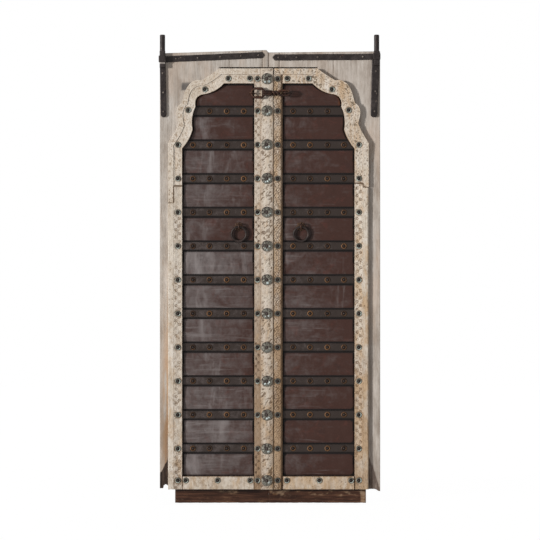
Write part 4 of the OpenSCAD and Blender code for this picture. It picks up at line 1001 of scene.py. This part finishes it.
def grey_and_sheen_on(side, i, across):
    """How grey a sheet is: its own tone, and a painted sheen that is stronger on the left leaf and towards
    the left of each sheet, the lamp's side.
    """
    left_share = across if side == "left" else 1 - across
    return SHEET_GREY_AND_SHEEN[side][i] + 0.34 * (left_share - 0.45)


def painted_ring_shadow(side, U, Z):
    """A painted shadow of the hanging ring on the sheet behind it, a little to its right."""
    away = np.hypot(U - RING_U[side] - SIDE_OF[side] * 9.5, Z - RING_Z)
    return smooth(9.0, 4.0, np.abs(away - RING_MID))


def panel_grid(rows, step, lip):
    """A grid over the panel between the stile and the arch, with where the panel ends on each row."""
    end = np.minimum(arch_u(rows), PANEL_END) - PANEL_GAP
    share = spread(0, 1, step, lip)
    start = STILE_W + PANEL_GAP
    U = start + share[None] * (end[:, None] - start)
    return U, np.repeat(rows[:, None], len(share), 1), end[:, None]


def sheet(i, side, seed):
    """A sheet that swells between two straps and slips under them: dented, with painted shade along the
    straps and the trims and a painted shadow of the ring.
    """
    low = PANEL_Z0 if i == 0 else row_z(i - 1) + STRAP_H / 2
    high = PANEL_TOP if i == ROWS else row_z(i) - STRAP_H / 2
    z0 = PANEL_Z0 + 0.3 if i == 0 else row_z(i - 1) + 6
    z1 = PANEL_TOP - 0.3 if i == ROWS else row_z(i) - 6
    U, Z, end = panel_grid(spread(z0, z1, 4), 0.014, (0.002, 0.007))
    t = np.clip((Z - (low + high) / 2) / ((high - low) / 2), -1, 1)
    side_gap, strap_gap = np.minimum(U - STILE_W, end - U), np.minimum(Z - low, high - Z)
    rise = SHEET_RISE * (1 - t ** 2) * smooth(-2, 9, side_gap)
    dents = 3.6 * (cloud(U / 70, i, Z / 50, seed) - 0.5) + 1.2 * (cloud(U / 22, i, Z / 26, seed + 3) - 0.5)
    crumple = (4.6 if i == CRUMPLED[side] else 0.5) * (cloud(U / 10, i, Z / 26, seed + 5) - 0.5)
    if side == "right":
        crumple = crumple * smooth(200, 100, U)
    front = -SHEET_T - np.maximum(rise + (dents + crumple) * (1 - t ** 2), 0)
    corner = 22.0 if side == "right" and i < 3 else 6.0
    inside = corner - np.hypot(np.maximum(corner - side_gap, 0), np.maximum(corner - strap_gap, 0))
    inside = np.where((side_gap < corner) | (strap_gap < corner), inside, np.minimum(side_gap, strap_gap))
    # Painted shade: dark along the straps and beside the trims, wider under the strap above, and the ring's
    # painted shadow.
    deeper = np.where(high - Z < Z - low, 3.2, 1.4)
    dark = np.maximum(smooth(6.6, 3.6, inside - deeper), 0.75 * painted_ring_shadow(side, U, Z))
    edge = near(np.minimum(side_gap, strap_gap), 9.0)
    if i == ROWS:
        edge = np.maximum(0.8 * edge, 1.2 * near(end - U, 16.0) * smooth(120, 30, Z - low))
    return board(U, Z, front, -0.05, dark, edge, grey_and_sheen_on(side, i, (U - STILE_W) / PANEL_W))


def strap(i, side, seed):
    """A strap across the panel: hammered, wavy along its edges, greyed like the sheet below it by dusting and
    a painted sheen, with painted shade at its ends and along its edges.
    """
    z0, z1 = row_z(i) - STRAP_H / 2, row_z(i) + STRAP_H / 2
    U, Z, end = panel_grid(spread(z0, z1, 5), 0.016, (0.002, 0.006))
    side_gap = np.minimum(U - STILE_W, end - U)
    beat = 0.8 * (cloud(U / 14, i, Z / 12, seed) - 0.5)
    front = STRAP_FRONT + arris(least(Z - z0, z1 - Z, side_gap), 1.3) + np.maximum(beat, -0.25)
    wave = 1.2 * (noise(U / 45, i, 0, seed + 2) - 0.5) * smooth(0.3, 0.5, np.abs(Z - row_z(i)) / STRAP_H)
    # Painted shade: dark at the strap's ends beside the trims and along its upper and lower edges.
    dark = most(smooth(7.0, 2.0, side_gap), smooth(4.4, 1.6, Z - z0), smooth(3.2, 0.8, z1 - Z))
    # Greyer like the sheet below it: dusting and the sheets' painted sheen.
    strap_dust_and_sheen = 0.1 + 0.9 * grey_and_sheen_on(side, i, (U - STILE_W) / PANEL_W)
    return board(U, Z + wave, front, -SHEET_T, dark, 0.0, strap_dust_and_sheen)


for side, seed in (("left", 411), ("right", 437)):
    body = side + "_leaf"
    add_piece(side + "_sheets_brown", side, [sheet(i, side, seed) for i in range(ROWS + 1)], SHEET_FINISH,
              body, [side + "_iron_sheets"])
    add_piece(side + "_straps_dark", side, [strap(i, side, seed + 11) for i in range(ROWS)], STRAP_FINISH,
              body, [side + "_iron_straps"])


# Studs and rosettes

def lower_right(side, A):
    """How far an angle about -y looks to the lower right, seen from the front."""
    return np.cos(A - math.radians(-50 if side == "right" else 230))


def disc_noise(R, A, cell, layer, seed, shift):
    """Noise over a disc, different for each shift."""
    return noise(R * np.cos(A) / cell + shift, layer, R * np.sin(A) / cell, seed)


def washer(side, seed, petals, tint, grime=0.0):
    """A pressed washer: a ring of worn petals, with a painted highlight to the lower right unless it is
    grimy.
    """
    turn = 6.28 * lattice(seed, 1, 2, 5)

    def relief(R, A):
        lobes = 0.45 * np.cos(petals * (A + turn)) * smooth(6.5, 9, R) * smooth(13.6, 12, R)
        return lobes + 0.3 * (disc_noise(R, A, 3, 0, 7, seed) - 0.5) * smooth(13.6, 12.5, R)

    def dirt(R, A):
        between = smooth(0.2, -0.6, np.cos(petals * (A + turn))) * smooth(7, 9, R)
        return smooth(8.6, 7.0, R) + 0.7 * smooth(12.6, 13.4, R) + 0.3 * between

    profile = [(0, 2.0), (5.2, 2.0), (7.2, 2.0), (8.2, 2.9), (9.6, 3.75), (10.8, 3.1), (11.8, 2.2),
               (13.0, 1.8), (WASHER_R, 1.0), (WASHER_R, 0)]
    shell = disc(profile, 30, relief, dirt)
    shell.tint = np.full(len(shell.points), tint)
    u, z = shell.points[:, 0], shell.points[:, 2]
    R, A = np.hypot(u, z), np.arctan2(z, u)
    uneven = 0.7 * (noise(A * 1.6, seed, 0, 12) - 0.5)
    # Painted highlight: the crest is brightest towards the lower right.
    glint = smooth(0.1, 1.05, lower_right(side, A + 1.8 * (tint - 0.5)) + uneven)
    shell.edge = bell(R - 10.4, 2.6) * (0.10 + 0.90 * glint) * (1 - grime)
    shell.hollow = np.maximum(shell.hollow, grime)
    return shell


def nail_head(r, seed):
    """A hand-forged head: a low dome with a few hammer facets."""
    def relief(R, A):
        return 0.8 * (disc_noise(R, A, 3.5, 1, 9, seed) - 0.5) * smooth(r, 0.7 * r, R)

    dome = [(0, 0.92), (0.3, 0.88), (0.55, 0.76), (0.78, 0.56), (0.93, 0.3), (1, 0.08), (0.98, 0)]
    return disc([(r * across, r * height) for across, height in dome], 16, relief)


def clenched_end(u, z, y, reach):
    """The end of a nail that comes through at y and is bent over."""
    path = [(u, y - 6, z), (u, y - 0.5, z), (u + 1.4, y + 1.6, z), (u + 4, y + 2.4, z),
            (u + reach, y + 1.6, z - 1.2)]
    return tube(path, [NAIL_R, NAIL_R, NAIL_R, 2.3, 1.3], 8)


INNER_GRIME = {"left": 0.0, "right": 0.5}
for side, seed in (("left", 500), ("right", 700)):
    body = side + "_leaf"
    washers, nails = [], []
    for k, (u, z, i) in enumerate(STRAP_STUDS):
        washers.append(washer(side, seed + k, 9, lattice(k, 4, 1, seed)).moved(u, STRAP_FRONT, z))
        nails.append(nail_head(HEAD_R, seed + k).moved(u, STRAP_FRONT - WASHER_T, z))
        nails.append(clenched_end(u, z, PLANK_T + (LEDGE_T if i in LEDGE_ROWS else 0), 15.0))
    add_piece(side + "_strap_washers_rusty", side, washers, RUST_FINISH, body,
              [side + "_strap_washers"])
    add_piece(side + "_strap_nails_dark", side, nails, NAIL_FINISH, body, [side + "_strap_nails"])
    places = ([(u, BAND_FRONT, z, 0.0) for u, z in BAND_STUDS]
              + [(u, -TRIM_T, z, INNER_GRIME[side]) for u, z in INNER_STUDS[side]]
              + [(u, -TRIM_T, z, 0.0) for u, z in FOOT_STUDS])
    washers, nails = [], []
    for k, (u, y, z, grime) in enumerate(places):
        tone = lattice(k + 60, 4, 1, seed)
        washers.append(washer(side, seed + 60 + k, 10, tone, grime).moved(u, y, z))
        nails.append(nail_head(HEAD_R, seed + 90 + k).moved(u, y - WASHER_T, z))
    add_piece(side + "_trim_washers_grey", side, washers, WASHER_FINISH, body,
              [side + "_trim_washers"])
    add_piece(side + "_trim_nails_dark", side, nails, NAIL_FINISH, body, [side + "_trim_nails"])


def rosette(seed):
    """A pressed flower, worn: a nail in a dark cup, seven uneven petals and a thin rim, with painted shade in
    the grime to the upper left and painted glints to the lower right.
    """
    def draw(k):
        return lattice(seed, k, 9, 3)

    turn, tone = 6.28 * draw(2), draw(6)

    def petal_groove(R, A):
        bent = A + turn + 0.3 * np.sin(2 * A + 6 * tone)
        return smooth(0.55, 0.95, np.cos(7 * bent)) * smooth(8.0, 11.0, R) * smooth(23.0, 20.5, R)

    def relief(R, A):
        lumps = disc_noise(R, A, 6, 2, 3, seed) - 0.5
        return -1.7 * petal_groove(R, A) + 2.0 * lumps * smooth(24.5, 22, R) * smooth(6, 9, R)

    def dirt(R, A):
        # Painted shade: the grime is kept to the upper left, away from the lower right.
        shaded = smooth(0.8, -0.4, lower_right("left", A))
        grime = smooth(0.42, 0.70, disc_noise(R, A, 7, 8, 6, seed)) * shaded
        cup, rim = smooth(8.8, 7.2, R), smooth(22.0, 23.0, R) * smooth(24.8, 23.8, R)
        return np.clip(0.6 * petal_groove(R, A) + cup + 0.75 * grime * smooth(8, 10, R) + 0.6 * rim, 0, 1)

    profile = [(0, 6.8), (2.5, 6.5), (4.2, 5.4), (5.4, 3.8), (6.6, 3.5), (7.4, 3.9), (8.2, 4.8), (9.6, 5.8),
               (11, 6.2), (12.4, 6.3), (14, 6.0), (15.5, 5.6), (17, 5.1), (18.5, 4.5), (20, 3.9), (21.4, 3.2),
               (22.6, 2.9), (23.6, 3.4), (24.4, 3.2), (25, 2.2), (25, 0)]
    shell = disc(profile, 80, relief, dirt)
    u, z = shell.points[:, 0], shell.points[:, 2]
    # Painted glints: up to three bright spots towards the lower right.
    shine = 0.0
    for k in range(3):
        r, a = 12.0 + 5.0 * draw(11 + k), math.radians(250 + 130 * (draw(21 + k) - 0.5))
        away = np.hypot(u - r * math.cos(a), z - r * math.sin(a))
        shine = shine + bell(away, 2.8 + 2.4 * draw(31 + k))
    shell.edge = np.clip((0.3 + 0.7 * draw(41)) * shine + 0.12 * tone, 0, 1)
    return shell


rosettes = [rosette(900 + k).moved(u, -COVER_T + 0.4, z)
            for k, (u, z) in enumerate(upright_studs((COVER_LEFT - COVER_LAP) / 2))]
add_piece("cover_rosettes_grey", "left", rosettes, ROSETTE_FINISH, "left_leaf",
          ["cover_rosettes"])


# Pivot irons

def forged_box(u0, u1, y0, y1, z0, z1, seed):
    """A forged block: soft arrises and a hammered front."""
    U, Z = np.meshgrid(spread(u0, u1, 6), spread(z0, z1, 6))
    gap = least(U - u0, u1 - U, Z - z0, z1 - Z)
    fall = arris(gap, 2.0)
    beat = 0.8 * (cloud(U / 13, 0, Z / 15, seed) - 0.35)
    return board(U, Z, y0 + fall + np.maximum(beat, 0), y1 - fall, 0.0, near(gap, 2.0))


def limed_under(shell, z, share):
    """Limewash left on an iron just under a height."""
    height = shell.points[:, 2]
    shell.tint = 0.5 + share * smooth(z - 8, z - 5, height) * smooth(z + 1, z - 1, height)
    return shell


def pivot_bar(pivot_u, top, lean, flare, seed):
    """The long bar under the collar: a round foot, a lean, and a flare towards its top."""
    rows = np.concatenate([[0, 0.5, 1.6, 3.4, 6, 9.2, 13.5], np.linspace(20, top - BAR_FOOT, 42)])
    half = BAR_W / 2
    swell = flare * (0.5 + 0.5 * rows / rows[-1])
    width = np.where(rows < half, np.sqrt(np.maximum(half ** 2 - (half - rows) ** 2, 1.0)), half)
    broad, swell = (width + swell)[:, None], swell[:, None]
    share = np.linspace(-1, 1, 13)
    U = share[None] * broad - swell + 0.7 * (noise(0, 0, rows / 40, seed)[:, None] - 0.5)
    Z = np.repeat((rows - (top - BAR_FOOT))[:, None], len(share), 1)
    gap = np.minimum((1 - np.abs(share))[None] * broad, rows[:, None])
    beat = 1.6 * (cloud(U / 11, 2, Z / 14, seed + 1) - 0.4)
    front = -BAR_T + arris(gap, 2.2) + np.maximum(beat, -0.2)
    c, s = math.cos(math.radians(lean)), math.sin(math.radians(lean))
    return board(pivot_u + U * c + Z * s, top + Z * c - U * s, front, 0.0, 0.0, near(gap, 2.2))


def pivot_pin(pivot_u, seed):
    """The pin: a forged round, facetted a little by the hammer, with a burred top."""
    y = -SHOULDER / 2
    heights = np.concatenate([np.linspace(SHOULDER_TOP - 3, PIN_TOP - 3, 16), [PIN_TOP - 1.4, PIN_TOP - 0.3]])
    radius = np.concatenate([np.full(16, PIN_R - 0.2), [PIN_R - 1.6, PIN_R - 3.4]])
    return tube([(pivot_u, y, z) for z in heights], radius, 20, seed=seed, rough=0.35)


def top_strap(pivot_u, outer_z, inner_z, seed):
    """The flat strap from the collar towards the meeting line, with a pointed end."""
    start = pivot_u - COLLAR_REACH
    share = np.concatenate([np.linspace(0, 0.93, 62), [0.955, 0.975, 0.99, 1.0]])
    u = start + share * (TOP_STRAP_END - start)
    point = np.maximum((u - TOP_STRAP_END) / 9 * TOP_STRAP_H / 2, 1.2)
    half = np.where(u > TOP_STRAP_END + 9, TOP_STRAP_H / 2, point)
    across = np.array([-1, -0.93, -0.8, -0.4, 0, 0.4, 0.8, 0.93, 1.0])
    U = np.repeat(u[:, None], len(across), 1)
    mid = outer_z + share * (inner_z - outer_z)
    Z = mid[:, None] + across[None] * half[:, None] + 1.0 * (noise(U / 40, 0, 0, seed) - 0.5)
    gap = np.minimum((1 - np.abs(across))[None] * half[:, None], (u - TOP_STRAP_END)[:, None])
    beat = 1.0 * (cloud(U / 13, 0, Z / 9, seed + 1) - 0.4)
    front = -TOP_STRAP_T + arris(gap, 1.6) + np.maximum(beat, -0.2)
    return board(U, Z, front, 0.0, 0.0, near(gap, 2.0))


def collar(pivot_u, mid_z):
    """The strap's end, bent round the shoulder: an open loop of even thickness with softened rims."""
    reach, wall, deep = COLLAR_REACH, TOP_STRAP_T, SHOULDER + COLLAR_FIT
    bend, ease = 3.4, 1.2
    outside = [(-reach, 0), (-reach, -deep), (-reach + bend, -deep - wall)]
    inside = [(-reach + wall, 0), (-reach + wall, -deep + ease), (-reach + wall + ease, -deep)]
    outside, inside = (line + [(-u, y) for u, y in line[::-1]] for line in (outside, inside))
    half = TOP_STRAP_H / 2
    heights = mid_z + np.array([-half, -half + 0.8, -half / 2, 0, half / 2, half - 0.8, half])
    insets = [0.9, 0.2, 0, 0, 0, 0.2, 0.9]
    points, faces, m = [], [], len(outside)
    for z, inset in zip(heights, insets):
        points += [(pivot_u + u * (1 - inset / reach), y * (1 - inset / 40), z) for u, y in outside]
        points += [(pivot_u + u, y, z) for u, y in inside]
    ring, last = 2 * m, len(heights) - 1
    for k in range(last):
        for j in range(m - 1):
            a, b = k * ring + j, k * ring + m + j
            faces += [(a, a + 1, a + ring + 1, a + ring), (b, b + ring, b + ring + 1, b + 1)]
        a, b = k * ring, k * ring + m
        faces.append((a, a + ring, b + ring, b))
        a, b = a + m - 1, b + m - 1
        faces.append((a, b, b + ring, a + ring))
    lower_rim = [(j, m + j, m + j + 1, j + 1) for j in range(m - 1)]
    upper_rim = [tuple(last * ring + i for i in face[::-1]) for face in lower_rim]
    return Shell(points, faces + lower_rim + upper_rim)


def iron_nail_places(pivot_u, outer_z, inner_z, lean):
    """Where nails hold the bar and the strap."""
    top, start = outer_z - TOP_STRAP_H / 2, pivot_u - COLLAR_REACH
    c, s = math.cos(math.radians(lean)), math.sin(math.radians(lean))
    down_bar = [share * (top - BAR_FOOT) for share in (0.2, 0.55, 0.9)]
    return ([(pivot_u - d * s, -BAR_T, top - d * c) for d in down_bar]
            + [(start + share * (TOP_STRAP_END - start), -TOP_STRAP_T, outer_z + share * (inner_z - outer_z))
               for share in (0.1, 0.32, 0.55, 0.76, 0.94)])


for side, lean, flare, limed, seed in (("left", 1.2, 0.0, 0.5, 1001), ("right", 2.2, 4.0, 0.0, 1031)):
    body, pivot_u = side + "_leaf", PIVOT_U[side]
    outer_z, inner_z = TOP_STRAP_Z[side]
    bar_top = outer_z - TOP_STRAP_H / 2
    half = SHOULDER / 2
    shoulder = forged_box(pivot_u - half, pivot_u + half, -SHOULDER, 0.0,
                          bar_top - SHOULDER, SHOULDER_TOP, seed + 3)
    add_piece(side + "_pivot_iron_forged", side,
              [pivot_bar(pivot_u, bar_top, lean, flare, seed), limed_under(shoulder, bar_top, limed),
               pivot_pin(pivot_u, seed + 5)],
              PIVOT_FINISH, body, [side + "_pivot_iron"])
    add_piece(side + "_top_strap_forged", side,
              [top_strap(pivot_u, outer_z, inner_z, seed + 7), collar(pivot_u, outer_z)],
              PIVOT_FINISH, body, [side + "_top_strap"])
    places = iron_nail_places(pivot_u, outer_z, inner_z, lean)
    add_piece(side + "_iron_nails_small", side,
              [nail_head(SMALL_HEAD_R, seed + 9 + k).moved(*place) for k, place in enumerate(places)],
              SMALL_NAIL_FINISH, body, [side + "_iron_nails"])


# Ring pulls

def circle(n, radius):
    """Points round a circle, as two arrays."""
    angle = np.linspace(0, 2 * math.pi, n, endpoint=False)
    return radius * np.cos(angle), radius * np.sin(angle)


def rose(u, seed):
    """The rose behind a ring's eye: eight scalloped petals, waved and uneven."""
    def relief(R, A):
        petals = 0.7 * np.cos(8 * A) * smooth(9, 15, R) * smooth(21, 18, R)
        return petals + 0.4 * (disc_noise(R, A, 4, 5, 2, seed) - 0.5) * smooth(21, 19, R)

    profile = [(0, 3.4), (4, 3.4), (7, 3.2), (10, 2.6), (13, 3.0), (16, 2.9), (18.5, 2.5),
               (20.4, 1.4), (21, 0)]
    shell = disc(profile, 64, relief)
    angle = np.arctan2(shell.points[:, 2], shell.points[:, 0])
    radius = np.hypot(shell.points[:, 0], shell.points[:, 2])
    scallop = 1 - 0.13 * (0.5 - 0.5 * np.cos(8 * angle)) * smooth(9, 18, radius)
    shell.points[:, [0, 2]] *= scallop[:, None]
    return shell.moved(u, ROSE_Y, EYE_Z)


for side, seed in (("left", 1101), ("right", 1121)):
    leaf, ring_u = side + "_leaf", RING_U[side]
    add_piece(side + "_ring_rose_rusty", side, [rose(ring_u, seed)], ROSE_FINISH, leaf,
              [side + "_ring_rose"])
    across, up = circle(36, EYE_MID)
    eye = np.stack([np.full(36, ring_u), EYE_Y + across, EYE_Z + up], -1)
    stem = [(ring_u, EYE_Y + EYE_MID, EYE_Z), (ring_u, PLANK_T + 1, EYE_Z),
            (ring_u + 1.2, PLANK_T + 3.2, EYE_Z), (ring_u + 4, PLANK_T + 4.2, EYE_Z),
            (ring_u + 16, PLANK_T + 3.6, EYE_Z - 1)]
    add_piece(side + "_ring_eye_rusty", side,
              [tube(eye, EYE_BAR - 0.1, 14, True, seed + 2, 0.25),
               tube(stem, [EYE_BAR, EYE_BAR, EYE_BAR, 3.6, 2.4], 12)],
              CHAIN_FINISH, leaf, [side + "_ring_eye"])
    across, up = circle(72, RING_MID)
    hang = up - RING_MID
    path = np.stack([ring_u + across, EYE_Y - hang * math.sin(RING_LEAN),
                     RING_Z + RING_MID + hang * math.cos(RING_LEAN)], -1)
    thinned = 0.35 * np.maximum(up / RING_MID, 0) ** 6
    add_piece(side + "_ring_worn", side, [tube(path, RING_BAR - 0.15 - thinned, 16, True, seed + 4, 0.3)],
              RING_FINISH, side + "_ring_pull", [side + "_ring"])


# Latch chain, from the left staple to the right one (x to the right of the meeting line)

def loop_path(x0, x1, mid_r, axis):
    """A closed loop with round ends, in x and y or in x and z."""
    half_turn = np.linspace(-math.pi / 2, math.pi / 2, 22)
    run = max(2, int((x1 - x0 - 2 * mid_r) / 3))
    across = np.linspace(x1 - mid_r, x0 + mid_r, run + 1)[1:-1]
    pts = [(x1 - mid_r + mid_r * math.cos(a), mid_r * math.sin(a)) for a in half_turn]
    pts += [(x, mid_r) for x in across]
    pts += [(x0 + mid_r - mid_r * math.cos(a), -mid_r * math.sin(a)) for a in half_turn]
    pts += [(x, -mid_r) for x in across[::-1]]
    return np.array([(x, LATCH_Y + v, LATCH_Z) if axis == "y" else (x, LATCH_Y, LATCH_Z + v) for x, v in pts])


def staple_path(u, bow_y):
    """A staple: two legs driven into the wood and a round bow in front."""
    bow = [(u - STAPLE_MID * math.cos(a), bow_y - STAPLE_MID * math.sin(a), LATCH_Z)
           for a in np.linspace(0, math.pi, 19)]
    legs = np.linspace(STAPLE_BITE, bow_y, 14)[:-1]
    return np.array([(u - STAPLE_MID, y, LATCH_Z) for y in legs] + bow
                    + [(u + STAPLE_MID, y, LATCH_Z) for y in legs[::-1]])


LINK_X0, LINK_X1 = -76.0, -16.0
HASP_X0 = LINK_X1 - 2 * LINK_BAR - 0.4
EYE_X0 = RIGHT_STAPLE_U - HASP_EYE_MID - 5.5 - 9 - LINK_BAR
EYE_X1 = RIGHT_STAPLE_U + HASP_EYE_MID + 5.5 + LINK_BAR
for side, staple_u, bow_y, seed in (("left", LEFT_STAPLE_U, LATCH_Y, 1201),
                                    ("right", RIGHT_STAPLE_U, LATCH_Y - 10.0, 1207)):
    staple = tube(staple_path(staple_u, bow_y), STAPLE_BAR - 0.05, 12, False, seed, 0.2)
    add_piece(side + "_latch_staple_rusty", side, [staple], CHAIN_FINISH, side + "_leaf",
              [side + "_latch_staple"])
link = loop_path(LINK_X0, LINK_X1, LINK_MID, "z")
link_x = link[:, 0]
thicker = 1.9 * smooth(LINK_X0 + 6, LINK_X0 + 18, link_x) * smooth(LINK_X1 - 5, LINK_X1 - 16, link_x)
add_piece("latch_link_rusty", "right", [tube(link, LINK_BAR - 0.05 + thicker, 14, True, 1211, 0.3)],
          CHAIN_FINISH, "latch_oval_link", ["latch_link"])


def twisted_neck(x0, x1, seed):
    """Two bars wound round each other between the long link's loops."""
    bars = []
    x = np.linspace(x0, x1, 40)
    share = (x - x0) / (x1 - x0)
    swell = 6.4 * np.sin(np.clip(share, 0, 1) * math.pi) ** 0.3
    for phase in (0.0, math.pi):
        turn = phase + share * 3.5 * math.pi
        path = np.stack([x, LATCH_Y + swell * np.cos(turn), LATCH_Z + swell * np.sin(turn)], -1)
        bars.append(tube(path, 5.2, 12, False, seed, 0.3))
    return bars


tip = tube([(EYE_X1 - 3.0, LATCH_Y, LATCH_Z), (EYE_X1 + 4.0, LATCH_Y, LATCH_Z + 1.0),
            (EYE_X1 + 12.0, LATCH_Y, LATCH_Z - 2.0)], [6.5, 6.0, 2.2], 12, False, 1229, 0.3)
tip.hollow = np.full(len(tip.points), 0.7)
left_loop = loop_path(HASP_X0 - 1.5, HASP_X0 + 36.0, 8.0, "y")
left_loops = [tube(left_loop + np.array([0, -1.0, dz]), 4.4, 14, True, 1221, 0.3) for dz in (-8.0, 0.0, 8.0)]
right_loop = tube(loop_path(EYE_X0, EYE_X1, HASP_EYE_MID, "z"), 4.9, 14, True, 1223, 0.3)
add_piece("latch_hasp_rusty", "right",
          left_loops + [right_loop, tip] + twisted_neck(HASP_X0 + 16.0, EYE_X0 + 2.0, 1227),
          CHAIN_FINISH, "latch_long_link", ["latch_hasp"])


# Floor, light and camera

WHITE = (1.0, 1.0, 1.0, 1.0)


def background_rays(wiring):
    """1 on rays that show the background: from the camera, in a reflection or through glass."""
    camera, glossy, clear = (wiring.node("ShaderNodeLightPath", {}, {}, "Is %s Ray" % kind)
                             for kind in ("Camera", "Glossy", "Transmission"))
    return clear.math("MAXIMUM", camera.math("MAXIMUM", camera, glossy), clear)


def stage_floor(half_width, white_share, strength):
    """A pale floor that catches a faint shadow and is otherwise as white as the background."""
    mesh = bpy.data.meshes.new("pale floor")
    corners = [(x * half_width, y * half_width, 0) for x, y in ((-1, -1), (1, -1), (1, 1), (-1, 1))]
    mesh.from_pydata(corners, [], [(0, 1, 2, 3)])
    floor = bpy.data.objects.new("pale_floor", mesh)
    bpy.context.collection.objects.link(floor)
    paper = bpy.data.materials.new("pale paper")
    paper.use_nodes = True
    paper.node_tree.nodes.clear()
    wiring = Wiring(paper.node_tree)
    matt = wiring.node("ShaderNodeBsdfDiffuse", {}, {"Color": (0.8, 0.8, 0.8, 1.0)})
    white = wiring.node("ShaderNodeEmission", {}, {"Color": WHITE, "Strength": strength})
    share = background_rays(wiring) * white_share
    mixed = wiring.node("ShaderNodeMixShader", {}, {0: share, 1: matt, 2: white})
    wiring.node("ShaderNodeOutputMaterial", {}, {"Surface": mixed})
    mesh.materials.append(paper)


def studio_world(fill):
    """White behind the object, and a soft fill light on it."""
    world = bpy.data.worlds.new("studio")
    world.use_nodes = True
    world.node_tree.nodes.clear()
    wiring = Wiring(world.node_tree)
    soft = wiring.node("ShaderNodeBackground", {}, {"Color": (1.0, 0.99, 0.98, 1.0), "Strength": fill})
    white = wiring.node("ShaderNodeBackground", {}, {"Color": WHITE, "Strength": 1.0})
    mixed = wiring.node("ShaderNodeMixShader", {}, {0: background_rays(wiring), 1: soft, 2: white})
    wiring.node("ShaderNodeOutputWorld", {}, {"Surface": mixed})
    bpy.context.scene.world = world


def key_lamp(azimuth, elevation, strength, spread_angle):
    """A sun that shines from the left of the camera."""
    lamp = bpy.data.lights.new("key", "SUN")
    lamp.energy, lamp.angle = strength, math.radians(spread_angle)
    lamp.color = (1.0, 0.985, 0.96)
    holder = bpy.data.objects.new("key", lamp)
    bpy.context.collection.objects.link(holder)
    holder.rotation_euler = (math.radians(90 - elevation), 0, math.radians(-azimuth))


def look_straight_at(place, lens):
    """A camera that looks straight at the front from far off."""
    eye = bpy.data.cameras.new("photo view")
    eye.lens, eye.sensor_width, eye.clip_end = lens, 36.0, 60.0
    camera = bpy.data.objects.new("photo_view", eye)
    bpy.context.collection.objects.link(camera)
    camera.location = place
    camera.rotation_euler = (math.radians(90), 0, 0)
    bpy.context.scene.camera = camera


stage_floor(half_width=9, white_share=0.9, strength=1.075)
studio_world(fill=0.40)
key_lamp(azimuth=54, elevation=2, strength=3.2, spread_angle=7)
look_straight_at(place=(0.002, -9.03, 1.051), lens=133.9)
bpy.context.scene.view_settings.view_transform = "Standard"
